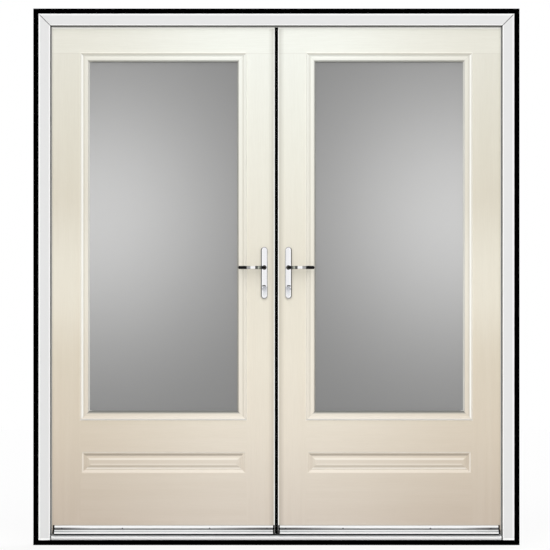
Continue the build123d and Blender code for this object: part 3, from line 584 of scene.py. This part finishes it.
def makeMetal(name, base, dark, low, high, scale, bump):
    # bright metal with hairlines in its roughness and a little tarnish in its colour
    material, tree, shader, place, axes = newMaterial(name)
    smear = dusty(tree, place, scale)
    hair = hairlines(tree, place)
    m = metalFinish
    colour = layered(tree, base, (smear, m["tarnish"], dark))
    rough = remap(scaled(smear, m["smearPart"], hair), 0.0, m["highest"], low, high)
    finish(tree, shader, colour, rough, hair, bump, m["distance"], metal)
    return material


cylinderFinish = {
    "shadeSpan": (0.994, 1.030), "face": -0.020, "base": (0.86, 0.87, 0.89),
    "smear": (0.12, (0.52, 0.52, 0.52)), "fade": (1.0, (0.44, 0.45, 0.50)),
    "smearScale": 30.0, "rough": (0.12, 0.24), "relief": (0.06, 0.0002),
}


def makeCylinderFinish():
    # satin nickel whose outer face is painted darker towards the lip above it: painted shade
    material, tree, shader, place, axes = newMaterial("nickel cylinder")
    c = cylinderFinish
    # painted shade under the lip
    fade = times(remap(axes["Z"], *c["shadeSpan"]), below(axes["Y"], c["face"]))
    colour = layered(tree, c["base"], (dusty(tree, place, c["smearScale"]), *c["smear"]), (fade, *c["fade"]))
    hair = hairlines(tree, place)
    finish(tree, shader, colour, scaled(hair, *c["rough"]), hair, *c["relief"], metal)
    return material


drawnFinish = {
    "lines": (1800.0, 5.0), "metallic": 0.35, "patches": (11.0, 0.45), "edgeSize": (0.0008, 1.5),
    "smear": (0.10, (0.45, 0.46, 0.47)), "edgeSheen": (0.15, (0.98, 0.98, 0.98)),
    "roughRange": (0.30, 0.42), "relief": (0.12, 0.0002),
}


def finishDrawn(tree, shader, place, axes, tone):
    # the lines left by drawing run across the door
    d = drawnFinish
    lines = hairlines(tree, acrossDoor(tree, axes), *d["lines"])
    colour = layered(tree, tone, (dusty(tree, place, *d["patches"]), *d["smear"]),
                     # painted highlight on rounded edges
                     (roundedEdges(tree, *d["edgeSize"]), *d["edgeSheen"]))
    finish(tree, shader, colour, remap(lines, 0.0, 1.0, *d["roughRange"]), lines, *d["relief"],
           (("Metallic", d["metallic"]),))


barFinish = {
    # each band's upper edge
    "cap": 0.0762, "topLine": 0.0728, "flange": 0.0688, "groove": 0.0649, "blade": 0.0600,
    "slope": 0.0571, "nose": 0.0512, "foot": 0.0462, "soft": 0.0006,
    # the cap, crest and nose colours are painted highlights; the groove and the band under the nose are
    # painted shade
    "top": (0.34, 0.32, 0.29), "bright": (1.0, 1.0, 1.0), "under": (0.85, 0.86, 0.85),
    "crestHighlight": (0.98, 0.99, 1.0), "dark": (0.03, 0.03, 0.03),
    # each of these has a colour in the middle and one towards the ends
    "high": ((0.92, 0.93, 0.93), (0.32, 0.32, 0.32)), "grooveShade": ((0.125, 0.130, 0.130), (0.010, 0.010, 0.010)),
    "blue": ((0.62, 0.65, 0.67), (0.50, 0.53, 0.55)),
    "endsSpan": (0.020, 0.33), "outSpan": (0.72, 0.865),
}


def makeWeatherbar():
    # painted highlights on the top and nose, painted shade in the groove between them that darkens towards
    # the ends and below the nose, and a blue-grey slope
    b = barFinish
    material, tree, shader, place, axes = newMaterial("anodised weatherbar")
    side = fromMiddle(axes)
    ends = most(fade(side, *b["endsSpan"]), remap(side, *b["outSpan"]))
    high, grooveShade, blue = (blendColour(tree, ends, *b[name]) for name in ("high", "grooveShade", "blue"))
    tone = b["top"]
    for edge, colour in (("cap", b["bright"]), ("topLine", b["under"]), ("flange", high), ("groove", grooveShade),
                         ("blade", b["crestHighlight"]), ("slope", blue), ("nose", b["bright"]), ("foot", b["dark"])):
        tone = blendColour(tree, before(axes["Z"], b[edge], b["soft"]), tone, colour)
    finishDrawn(tree, shader, place, axes, tone)
    return material


sillFinish = {
    "lipAt": 0.0349, "footAt": 0.0234, "baseAt": 0.0200, "soft": 0.0006, "jointEdge": (0.8925, 0.8950),
    "face": (1.0, 1.0, 1.0), "lip": (1.0, (0.41, 0.42, 0.42)), "foot": (1.0, (0.44, 0.44, 0.44)),
    "base": (1.0, (0.14, 0.14, 0.14)), "joint": (1.0, (0.02, 0.02, 0.02)),
}


def makeThreshold():
    # bright face with painted shade on the lip and foot, darkest at the base, and sealant in the joint
    # against each jamb
    s = sillFinish
    material, tree, shader, place, axes = newMaterial("anodised threshold")
    height = axes["Z"]
    # painted shade on the lip, the foot and the base
    tone = layered(
        tree, s["face"], (past(height, s["lipAt"], s["soft"]), *s["lip"]),
        (before(height, s["footAt"], s["soft"]), *s["foot"]),
        (before(height, s["baseAt"], s["soft"]), *s["base"]),
        (remap(fromMiddle(axes), *s["jointEdge"]), *s["joint"]))
    finishDrawn(tree, shader, place, axes, tone)
    return material


leverFinish = {
    "polish": (0.93, 0.93, 0.94), "smear": (0.20, (0.72, 0.73, 0.74)), "darkReflection": (0.012, 0.012, 0.013),
    # painted reflection bands: centre, half width, softness and colour
    "reflectionBands": ((0.0680, 0.0060, 0.0010, (0.42, 0.44, 0.38)), (0.0788, 0.0042, 0.0022, (0.10, 0.10, 0.10)),
                (0.1120, 0.0050, 0.0080, (0.36, 0.36, 0.36))),
    "bossSpan": (0.0580, 0.0725), "gripSpan": (0.1168, 0.1184),
    "smearScale": 26.0, "rough": (0.06, 0.06), "darkRough": 0.22, "relief": (0.03, 0.0002),
}


def makeLeverFinish():
    # polished bar with painted dark reflections on the grip end and boss, and painted reflection bands
    # between them
    material, tree, shader, place, axes = newMaterial("lever with painted reflections")
    v = leverFinish
    side = fromMiddle(axes)
    smear = dusty(tree, place, v["smearScale"])
    reflectionBands = [(band(tree, side, *line), 1.0, colour) for *line, colour in v["reflectionBands"]]
    # painted dark reflection on the boss and the grip end
    dark = most(fade(side, *v["bossSpan"]), remap(side, *v["gripSpan"]))
    colour = layered(tree, v["polish"], (smear, *v["smear"]), *reflectionBands, (dark, 1.0, v["darkReflection"]))
    rough = scaled(dark, v["darkRough"], scaled(smear, *v["rough"]))
    finish(tree, shader, colour, rough, hairlines(tree, place), *v["relief"], metal)
    return material


plateFinish = {
    "middle": 0.048, "centre": 1.081, "straight": 0.090, "radius": 0.013,
    "lineSpan": (0.0021, 0.0041), "hingeSpan": (0.004, 0.010), "hingeShare": 0.97,
    "footSpan": (0.984, 0.992), "footShare": 0.62, "topSpan": (1.172, 1.180),
    "topShare": 0.50, "leastShare": 0.30, "shadeLow": 0.990, "shadeHigh": 1.0265,
    "shineAt": (0.0060, 0.0018, 0.0010), "shineSpan": (0.002, 0.006),
    "base": (0.875, 0.875, 0.895), "smear": (0.12, (0.72, 0.73, 0.76)), "shade": (0.55, (0.50, 0.51, 0.55)),
    "shine": (0.985, 0.985, 0.99), "line": (0.05, 0.05, 0.055),
    "smearScale": 18.0, "rough": (0.06, 0.07), "relief": (0.02, 0.0002),
}


def makePlateFinish():
    # polished plate; inset is the radius less the distance from the line between the two round ends
    material, tree, shader, place, axes = newMaterial("polished backplate")
    p = plateFinish
    height = axes["Z"]
    across = minus(fromMiddle(axes), p["middle"])
    fromCentre = calc("ABSOLUTE", minus(height, p["centre"]))
    beyond = most(minus(fromCentre, p["straight"]), 0.0)
    reach = calc("SQRT", calc("ADD", times(across, across), times(beyond, beyond)))
    inset = minus(p["radius"], reach)
    # painted reflection: the rolled rim is painted dark, most on the hinge side and least on the other
    line = fade(inset, *p["lineSpan"])
    weight = most(
        times(remap(across, *p["hingeSpan"]), p["hingeShare"]),
        times(fade(height, *p["footSpan"]), p["footShare"]),
        times(remap(height, *p["topSpan"]), p["topShare"]), p["leastShare"])
    # painted reflection: a bright line is painted beside the dark rim
    shine = times(band(tree, inset, *p["shineAt"]), remap(across, *p["shineSpan"]))
    # painted shade below the keyhole lip
    shade = times(remap(height, p["shadeLow"], p["shadeHigh"]),
                  below(height, p["shadeHigh"]))
    smear = dusty(tree, place, p["smearScale"])
    colour = layered(tree, p["base"], (smear, *p["smear"]), (shade, *p["shade"]), (shine, 1.0, p["shine"]),
                     (line, weight, p["line"]))
    finish(tree, shader, colour, scaled(smear, *p["rough"]), hairlines(tree, place),
           *p["relief"], metal)
    return material


glassFinish = {
    "across": 0.719, "height": 1.310, "spread": 0.325,
    # bright: the colour in the middle of the painted highlight
    "edge": (0.262, 0.262, 0.262), "bright": (0.730, 0.730, 0.728), "cloud": (0.04, (0.60, 0.60, 0.59)),
    "etching": (900.0, 3.0, 0.6), "etchedRange": (0.3, 0.7, 0.42, 0.50), "patches": (1.6, 0.4),
    "transmission": 0.30, "ior": 1.5, "relief": (0.05, 0.0001),
}


def makeSatinGlass():
    # satin glass with a painted highlight: paler round a soft spot beside the frame, the bell curve of the
    # distance from it
    material, tree, shader, place, axes = newMaterial("satin glass")
    g = glassFinish
    etched = noise(tree, place, *g["etching"])
    across = minus(fromMiddle(axes), g["across"])
    over = minus(axes["Z"], g["height"])
    square = calc("ADD", times(across, across), times(over, over))
    highlightSpot = calc("EXPONENT", calc("DIVIDE", square, -g["spread"]))
    soft = blendColour(tree, highlightSpot, g["edge"], g["bright"])
    colour = layered(tree, soft, (dusty(tree, place, *g["patches"]), *g["cloud"]))
    finish(tree, shader, colour, remap(etched, *g["etchedRange"]), etched, *g["relief"],
           (("Metallic", 0.0), ("Transmission Weight", g["transmission"]), ("IOR", g["ior"])))
    return material


mouldedFinish = {
    "tooth": (700.0, 2.0), "vary": 0.12, "relief": (0.08, 0.0003),
    "mottle": 0.12, "thin": 0.25, "edgeSize": (0.0015, 2.5),
}


def finishMoulded(tree, shader, place, colour, smear, roughness):
    m = mouldedFinish
    finish(tree, shader, colour, scaled(smear, m["vary"], roughness),
           noise(tree, place, *m["tooth"]), *m["relief"])


def makeCoated(name, base, worn, roughness, scale):
    # painted or moulded surface: faint mottling, and edges where the coat has thinned
    material, tree, shader, place, axes = newMaterial(name)
    smear = dusty(tree, place, scale)
    m = mouldedFinish
    colour = layered(tree, base, (smear, m["mottle"], worn), (roundedEdges(tree, *m["edgeSize"]), m["thin"], worn))
    finishMoulded(tree, shader, place, colour, smear, roughness)
    return material


beadFinish = {
    "litSpan": (0.730, 0.738), "base": (0.24, 0.24, 0.23),
    "pale": (1.0, (0.80, 0.79, 0.74)), "smear": (0.12, (0.40, 0.40, 0.38)),
    "smearScale": 20.0, "roughness": 0.55,
}


def makeBead():
    # grey glazing bead, painted paler on the frame side: painted light, where the light comes across the
    # glass
    material, tree, shader, place, axes = newMaterial("glazing bead")
    b = beadFinish
    pale = remap(fromMiddle(axes), *b["litSpan"])
    smear = dusty(tree, place, b["smearScale"])
    colour = layered(tree, b["base"], (pale, *b["pale"]), (smear, *b["smear"]))
    finishMoulded(tree, shader, place, colour, smear, b["roughness"])
    return material


timberFinish = {
    "base": (0.97, 0.965, 0.945), "band": (0.10, (0.62, 0.56, 0.46)), "aged": (0.08, (0.80, 0.74, 0.62)),
    "gapShadeAcross": 0.0067, "gapShadeFront": -0.0130, "bead": (1.0, (0.004, 0.004, 0.004)),
    "grainAcross": 260.0, "grainAlong": 7.0, "agedRange": (0.4, 0.7),
    "rough": (0.15, 0.42), "relief": (0.25, 0.0005),
}


def makeTimber():
    # coated timber edge: the grain still shows as a fine relief along each post
    material, tree, shader, place, axes = newMaterial("coated timber")
    t = timberFinish
    grain = useGroup(tree, woodGrain, Vector=place, Across=t["grainAcross"], Along=t["grainAlong"])
    # painted shade: the front arris of each meeting edge is painted near black, for the shade in the gap
    # between the leaves
    bead = times(below(fromMiddle(axes), t["gapShadeAcross"]),
                 below(axes["Y"], t["gapShadeFront"]))
    colour = layered(tree, t["base"], (remap(grain["Height"], 0.0, 1.0), *t["band"]),
                     (remap(grain["Tone"], *t["agedRange"]), *t["aged"]), (bead, *t["bead"]))
    finish(tree, shader, colour, scaled(grain["Height"], *t["rough"]), grain["Height"], *t["relief"])
    return material


foamFinish = {
    "cells": 1400.0, "reach": 0.8, "middle": (0.62, 0.50, 0.26), "wall": (0.84, 0.75, 0.50),
    "roughRange": (0.75, 0.9), "relief": (0.5, 0.0006),
}


def makeFoam():
    # small cells, darker in their middles
    material, tree, shader, place, axes = newMaterial("rigid foam")
    f = foamFinish
    cells = addNode(tree, "TexVoronoi", {"Vector": place, "Scale": f["cells"]}).outputs["Distance"]
    colour = blendColour(tree, remap(cells, 0.0, f["reach"]), f["middle"], f["wall"])
    rough = remap(cells, 0.0, f["reach"], *f["roughRange"])
    finish(tree, shader, colour, rough, cells, *f["relief"])
    return material


materials = {
    "grp_skin": makeSkin(),
    "foam": makeFoam(),
    "timber": makeTimber(),
    "cassette": makeCassette(),
    "satin_glass": makeSatinGlass(),
    "spacer": makeBlack("spacer bar", 0.012, 0.03, 0.6, 30.0),
    "chrome": makeMetal("polished chrome", (0.90, 0.91, 0.92), (0.70, 0.71, 0.72), 0.06, 0.14, 18.0, 0.02),
    "lever": makeLeverFinish(),
    "plate": makePlateFinish(),
    "cylinder": makeCylinderFinish(),
    "nickel": makeMetal("satin nickel", (0.66, 0.65, 0.62), (0.45, 0.43, 0.39), 0.22, 0.38, 30.0, 0.10),
    "end_cap": makeBlack("end cap moulding", 0.002, 0.005, 0.60, 40.0, 0.04),
    "aluminium": makeWeatherbar(),
    "sill": makeThreshold(),
    "packer": makeBlack("packer", 0.0002, 0.0008, 0.7, 12.0, 0.0),
    "rubber": makeBlack("seal rubber", 0.0002, 0.0008, 0.8, 25.0, 0.0),
    "gasket": makeGasket(),
    "hinge_steel": makeCoated("hinge coat", (0.84, 0.84, 0.83), (0.62, 0.61, 0.58), 0.32, 16.0),
    "upvc": makeFrame(),
    "lock_steel": makeMetal("zinc plate", (0.62, 0.62, 0.60), (0.42, 0.41, 0.38), 0.25, 0.42, 22.0, 0.08),
    "dark_screw": makeMetal(
        "blackened screw", (0.07, 0.07, 0.075), (0.03, 0.03, 0.03), 0.28, 0.42, 60.0, 0.05),
    "bead": makeBead(),
    "cover": makeCoated("screw cover", (0.82, 0.82, 0.81), (0.60, 0.59, 0.56), 0.34, 30.0),
}
print("materials ready:", len(materials))

nodeFinish = (
    ("skin", "grp_skin"), ("core", "foam"), ("subframe", "timber"), ("cassette", "cassette"),
    ("pane", "satin_glass"), ("spacer", "spacer"), ("backplate", "plate"), ("lever", "lever"),
    ("thumbturn", "chrome"), ("cylinder", "cylinder"), ("weatherbar_caps", "end_cap"),
    ("weatherbar", "aluminium"), ("threshold_packer", "packer"), ("threshold", "sill"),
    ("frame_seals", "gasket"), ("meeting_seal", "rubber"), ("perimeter_seal", "rubber"),
    ("hinge", "hinge_steel"), ("frame_", "upvc"),
)
for name, node in nodes.items():
    chosen = next((finishName for part, finishName in nodeFinish if part in name), "lock_steel")
    node.data.materials.clear()
    node.data.materials.append(materials[chosen])
print("CAD nodes finished")

# surfaces as whole arrays of points


def gridFaces(rows, columns, closedRows=False, closedColumns=False):
    # quads between neighbouring points of a grid, as whole arrays
    i, j = np.meshgrid(np.arange(rows if closedRows else rows - 1),
                       np.arange(columns if closedColumns else columns - 1), indexing="ij")
    nextI, nextJ = (i + 1) % rows, (j + 1) % columns
    quads = np.stack([i * columns + j, nextI * columns + j, nextI * columns + nextJ, i * columns + nextJ], -1)
    return quads.reshape(-1, 4)


def turned(profile, segments):
    # each profile point is (radius, distance out); turned once round, out becomes -Y
    angle = np.linspace(0.0, 2 * math.pi, segments, endpoint=False)
    radius, out = profile[:, :1], profile[:, 1:]
    points = np.stack([radius * np.cos(angle), -out + 0 * angle, radius * np.sin(angle)], -1)
    return points.reshape(-1, 3), gridFaces(len(profile), segments, False, True)


def mitredLoop(section, left, right, bottom, top):
    # a section of (inset, y) carried round a rectangle; corner points move in by the inset on both sides
    corner = np.array([[left, bottom, 1, 1], [left, top, 1, -1],
                       [right, top, -1, -1], [right, bottom, -1, 1]])
    inset, y = section[:, 0], section[:, 1]
    x = corner[:, :1] + corner[:, 2:3] * inset
    z = corner[:, 1:2] + corner[:, 3:4] * inset
    points = np.stack([x, np.broadcast_to(y, x.shape), z], -1)
    return points.reshape(-1, 3), gridFaces(4, len(section), True, True)


def repeated(points, faces, centres):
    # the same small surface set down at every centre
    many = (points[None] + centres[:, None]).reshape(-1, 3)
    shift = np.arange(len(centres)) * len(points)
    return many, (faces[None] + shift[:, None, None]).reshape(-1, 4)


def makePiece(name, points, faces, body, finishName, sharp=38.0):
    mesh = bpy.data.meshes.new(name)
    mesh.from_pydata(points.tolist(), [], faces.tolist())
    shell = bmesh.new()
    shell.from_mesh(mesh)
    bmesh.ops.remove_doubles(shell, verts=shell.verts, dist=1e-6)
    bmesh.ops.recalc_face_normals(shell, faces=shell.faces)
    shell.to_mesh(mesh)
    shell.free()
    mesh.polygons.foreach_set("use_smooth", np.ones(len(mesh.polygons), dtype=bool))
    mesh.set_sharp_from_angle(angle=math.radians(sharp))
    mesh.materials.append(materials[finishName])
    piece = bpy.data.objects.new(name, mesh)
    scene.collection.objects.link(piece)
    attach(piece, body)


def onLeaf(leaf, points):
    # a leaf's own things are worked out on the left and turned over for the right
    return points * np.array([1.0 if leaf == "master" else -1.0, 1.0, 1.0])


def throughLeaf(points, middle=0.007):
    # the same thing on the inside face of the leaf
    return points * np.array([1.0, -1.0, 1.0]) + np.array([0.0, 2 * middle, 0.0])


# glazing beads

glazing = {
    "left": -0.7435, "right": -0.154, "bottom": 0.532, "top": 1.920,
    "show": 0.0016, "hidden": 0.0010, "glassFace": -0.007, "proud": 0.0018,
}


def glazingBead(g):
    # quarter round from the cassette's lip down to the glass
    turn = np.linspace(0.0, math.pi / 2, 6)
    inset = g["show"] * np.sin(turn)
    y = g["glassFace"] - g["proud"] * np.cos(turn)
    section = np.concatenate([
        np.stack([inset, y], -1),
        np.array([[-g["hidden"], g["glassFace"]], [-g["hidden"], g["glassFace"] - g["proud"]]])])
    return mitredLoop(section, g["left"], g["right"], g["bottom"], g["top"])


for leaf in ("master", "slave"):
    points, faces = glazingBead(glazing)
    makePiece(leaf + "_outer_glazing_bead", onLeaf(leaf, points), faces, leaf + "_leaf", "bead")
    makePiece(leaf + "_inner_glazing_bead", onLeaf(leaf, throughLeaf(points)), faces, leaf + "_leaf",
              "bead")
print("glazing beads made")

# screws


def domedScrew(screw):
    # a shallow cap of a sphere with a driver hole sunk in its middle
    r = np.array([0.0, 0.30, 0.34, 0.55, 0.78, 0.93, 1.0, 1.0]) * screw["radius"]
    out = np.array([0.35, 0.35, 0.98, 0.90, 0.66, 0.36, 0.10, -0.60]) * screw["dome"]
    return turned(np.stack([r, out], -1), screw["segments"])


def facing(points, way):
    # points made to look out towards -Y, turned to look out along another axis
    x, y, z = points[:, 0], points[:, 1], points[:, 2]
    if way == "inside":
        return np.stack([x, -y, z], -1)
    if way == "right":
        return np.stack([-y, x, z], -1)
    return points


def screwSet(screw, places, way):
    points, faces = domedScrew(screw)
    return repeated(facing(points, way), faces, np.array(places, dtype=float))


barScrew = {"radius": 0.0031, "dome": 0.0011, "segments": 20}
barScrews = [(x, -0.0185, 0.0642) for x in (-0.853, -0.612, -0.265, -0.037)]

for leaf in ("master", "slave"):
    points, faces = screwSet(barScrew, barScrews, "outside")
    makePiece(leaf + "_weatherbar_screws", onLeaf(leaf, points), faces, leaf + "_leaf",
              "dark_screw")
print("weatherbar screws made")

hingeScrew = {"radius": 0.0036, "dome": 0.0009, "segments": 20}
hingeRows = [middle + step for middle in (0.325, 1.0595, 1.794) for step in (-0.034, 0.0, 0.034)]
framePlateScrews = [(-0.932, 0.038, z) for z in hingeRows]
doorPlateScrews = [(-0.882, 0.032, z) for z in hingeRows]
plateScrew = {"radius": 0.0031, "dome": 0.0010, "segments": 20}
plateScrews = [(-0.048, 0.037, z) for z in (1.062, 1.166)]
faceScrew = {"radius": 0.0036, "dome": 0.0005, "segments": 20}
faceHeights = {
    "master": (0.130, 0.420, 0.640, 0.900, 1.250, 1.600, 1.830, 1.990),
    "slave": (0.120, 0.380, 0.680, 0.930, 1.260, 1.600, 1.870, 2.015),
}

for leaf in ("master", "slave"):
    ownBody = leaf + "_leaf"
    faceScrews = [(-0.006, 0.007, z) for z in faceHeights[leaf]]
    for label, body, screw, places, way, finishName in (
            ("_frame_hinge_screws", "frame", hingeScrew, framePlateScrews, "inside", "lock_steel"),
            ("_door_hinge_screws", ownBody, hingeScrew, doorPlateScrews, "inside", "lock_steel"),
            ("_backplate_screws", ownBody, plateScrew, plateScrews, "inside", "nickel"),
            ("_faceplate_screws", ownBody, faceScrew, faceScrews, "right", "nickel")):
        points, faces = screwSet(screw, places, way)
        makePiece(leaf + label, onLeaf(leaf, points), faces, body, finishName)
print("hinge and lock screws made")

# covers over the frame's fixing screws, in the rebate of each jamb
fixingCover = {"heights": (0.165, 0.765, 1.365, 1.965), "face": -0.913, "depth": 0.012,
               "radius": 0.0075, "dome": 0.0012, "segments": 28}


def coverCap(cover):
    # a low dome on a stepped rim
    r = np.array([0.0, 0.35, 0.68, 0.84, 0.90, 0.92, 1.0, 1.0]) * cover["radius"]
    out = np.array([1.0, 0.94, 0.76, 0.58, 0.48, 0.30, 0.22, -0.50]) * cover["dome"]
    return turned(np.stack([r, out], -1), cover["segments"])


for leaf, jamb in (("master", "left"), ("slave", "right")):
    c = fixingCover
    points, faces = coverCap(c)
    centres = np.array([[c["face"], c["depth"], z] for z in c["heights"]])
    points, faces = repeated(facing(points, "right"), faces, centres)
    makePiece(jamb + "_jamb_fixing_covers", onLeaf(leaf, points), faces, "frame", "cover")
print("fixing covers made")

# raised lip over each outer keyhole, near black: a dark piece for the shade at the top of the cylinder
keyholeShadeLip = {"x": -0.0492, "z": 1.0174, "face": -0.0231, "radius": 0.0124, "thick": 0.0023, "spread": 36.0}


def arcTube(lip, along=25, around=12):
    # a circle carried along an arc: centre plus (radius + thick cos b) on the arc's ray, thick sin b outwards
    arc = np.radians(np.linspace(90 + lip["spread"], 90 - lip["spread"], along))[:, None]
    b = np.linspace(0.0, 2 * math.pi, around, endpoint=False)[None]
    thick = np.full((along, 1), lip["thick"])
    thick[[0, -1]] = 0.0
    reach = lip["radius"] + thick * np.cos(b)
    points = np.stack([lip["x"] + reach * np.cos(arc), lip["face"] - thick * np.sin(b) + 0 * arc,
                       lip["z"] + reach * np.sin(arc)], -1)
    return points.reshape(-1, 3), gridFaces(along, around, False, True)


for leaf in ("master", "slave"):
    points, faces = arcTube(keyholeShadeLip)
    makePiece(leaf + "_keyhole_shade_lip", onLeaf(leaf, points), faces, leaf + "_leaf", "dark_screw")
print("keyhole lips made")

# soft fin that closes the meeting gap from the master leaf
meetingFin = {"low": 0.0455, "high": 2.0735, "root": -0.0062, "tip": -0.00205, "front": -0.0132,
              "back": -0.0068, "overlap": 0.0003, "chamfer": 0.0004, "bluntness": 0.2}


def finStrip(fin, rows=9):
    # a blunt section carried straight up and closed at both ends: x is the cosine of the turn to the power
    # of the bluntness, y its sine
    turn = np.linspace(-math.pi / 2, math.pi / 2, 13)
    middle, half = (fin["front"] + fin["back"]) / 2, (fin["back"] - fin["front"]) / 2
    litBand = np.clip(np.cos(turn), 0.0, 1.0) ** fin["bluntness"]
    x = np.concatenate([fin["root"] + (fin["tip"] - fin["root"]) * litBand, [fin["root"] - fin["overlap"]] * 2])
    y = np.concatenate([middle + half * np.sin(turn),
                        [fin["back"] - fin["chamfer"], fin["front"] + fin["chamfer"]]])
    z = np.concatenate([[fin["low"]], np.linspace(fin["low"], fin["high"], rows), [fin["high"]]])
    grow = np.ones(rows + 2)
    grow[[0, -1]] = 0.0
    centreX = (fin["root"] + fin["tip"]) / 2
    points = np.stack([centreX + (x - centreX) * grow[:, None], middle + (y - middle) * grow[:, None],
                       np.broadcast_to(z[:, None], (rows + 2, len(x)))], -1)
    return points.reshape(-1, 3), gridFaces(rows + 2, len(x), False, True)


points, faces = finStrip(meetingFin)
makePiece("master_meeting_fin", points, faces, "master_leaf", "rubber")
print("meeting fin made")

# floor, light and camera

room = {"halfWidth": 9.0, "near": -14.0, "far": 9.0, "whiteShare": 0.80, "fill": 0.42,
        "shade": (0.48, 0.48, 0.47), "seenShade": (0.86, 0.86, 0.86), "smear": (0.04, (0.70, 0.70, 0.70))}
white = (1.0, 1.0, 1.0)


def seenDirectly(tree):
    # one for what the camera sees, straight on, in a reflection or through glass
    path = addNode(tree, "LightPath").outputs
    return most(path["Is Camera Ray"], most(path["Is Glossy Ray"], path["Is Transmission Ray"]))


def flatMesh(name, x, y, z, material):
    mesh = bpy.data.meshes.new(name)
    mesh.from_pydata(np.stack([x, y, z], -1).tolist(), [], [[0, 1, 2, 3]])
    mesh.materials.append(material)
    flat = bpy.data.objects.new(name, mesh)
    scene.collection.objects.link(flat)
    return flat


def makeFloor():
    material, tree, shader, place, axes = newMaterial("studio floor")
    seen = seenDirectly(tree)
    bare = blendColour(tree, seen, room["shade"], room["seenShade"])
    finish(tree, shader, layered(tree, bare, (dusty(tree, place, 0.7, 0.4), *room["smear"])),
           fixed=(("Roughness", 0.9),))
    glow = addNode(tree, "Emission", {"Color": white, "Strength": 1.0})
    mix = addNode(tree, "MixShader", {
        0: times(seen, room["whiteShare"]), 1: shader.outputs["BSDF"], 2: glow.outputs["Emission"]})
    output = next(n for n in tree.nodes if n.type == "OUTPUT_MATERIAL")
    tree.links.new(mix.outputs["Shader"], output.inputs["Surface"])
    x = np.array([-1, 1, 1, -1]) * room["halfWidth"]
    y = np.array([room["near"], room["near"], room["far"], room["far"]])
    flatMesh("studioFloor", x, y, 0 * x, material)


def makeWorld():
    world = bpy.data.worlds.new("studio")
    world.use_nodes = True
    tree = world.node_tree
    tree.nodes.clear()
    fill = addNode(tree, "Background", {"Color": white, "Strength": room["fill"]})
    bright = addNode(tree, "Background", {"Color": white, "Strength": 1.0})
    mix = addNode(tree, "MixShader", {
        0: seenDirectly(tree), 1: fill.outputs[0], 2: bright.outputs[0]})
    output = addNode(tree, "OutputWorld")
    tree.links.new(mix.outputs["Shader"], output.inputs["Surface"])
    scene.world = world


# wide soft lights a long way off, so the whole height of the door is lit alike
lamps = {
    "front": {"from": (0.0, -0.857, 0.515), "strength": 2.08, "width": 66.0},
    "back": {"from": (0.35, 0.60, 0.62), "strength": 1.60, "width": 60.0},
}
lampDistance = 6.0


def makeLamps():
    for name, lamp in lamps.items():
        light = bpy.data.lights.new(name + "Lamp", "SUN")
        light.energy = lamp["strength"]
        light.angle = math.radians(lamp["width"])
        holder = bpy.data.objects.new(name + "Lamp", light)
        holder.location = Vector(lamp["from"]) * lampDistance
        holder.rotation_euler = (-Vector(lamp["from"])).to_track_quat("-Z", "Y").to_euler()
        holder.visible_glossy = False
        scene.collection.objects.link(holder)


flags = {"side": 4.2, "near": -7.5, "far": -3.2, "low": 0.0, "high": 3.0}


def makeFlags():
    # a grey card on each side of the camera, seen only in reflections
    material = makeBlack("grey card", 0.16, 0.20, 0.9, 3.0)
    y = np.array([flags["near"], flags["far"], flags["far"], flags["near"]])
    z = np.array([flags["low"], flags["low"], flags["high"], flags["high"]])
    for name, x in (("leftFlag", -flags["side"]), ("rightFlag", flags["side"])):
        card = flatMesh(name, x + 0 * y, y, z, material)
        card.visible_camera = False
        card.visible_diffuse = False
        card.visible_shadow = False
        card.visible_transmission = False


view = {"lens": 200.0, "sensor": 36.0, "distance": 12.147, "face": -0.015, "x": -0.00555, "height": 1.0722,
        "clip": (0.1, 200.0)}


def makeCamera():
    lens = bpy.data.cameras.new("camera")
    lens.type = "PERSP"
    lens.lens = view["lens"]
    lens.sensor_width = view["sensor"]
    lens.sensor_fit = "HORIZONTAL"
    lens.clip_start, lens.clip_end = view["clip"]
    camera = bpy.data.objects.new("camera", lens)
    camera.location = (view["x"], view["face"] - view["distance"], view["height"])
    camera.rotation_euler = (math.radians(90), 0.0, 0.0)
    scene.collection.objects.link(camera)
    scene.camera = camera


makeFloor()
makeWorld()
makeLamps()
makeFlags()
makeCamera()
scene.view_settings.view_transform = "Standard"
print("studio ready")
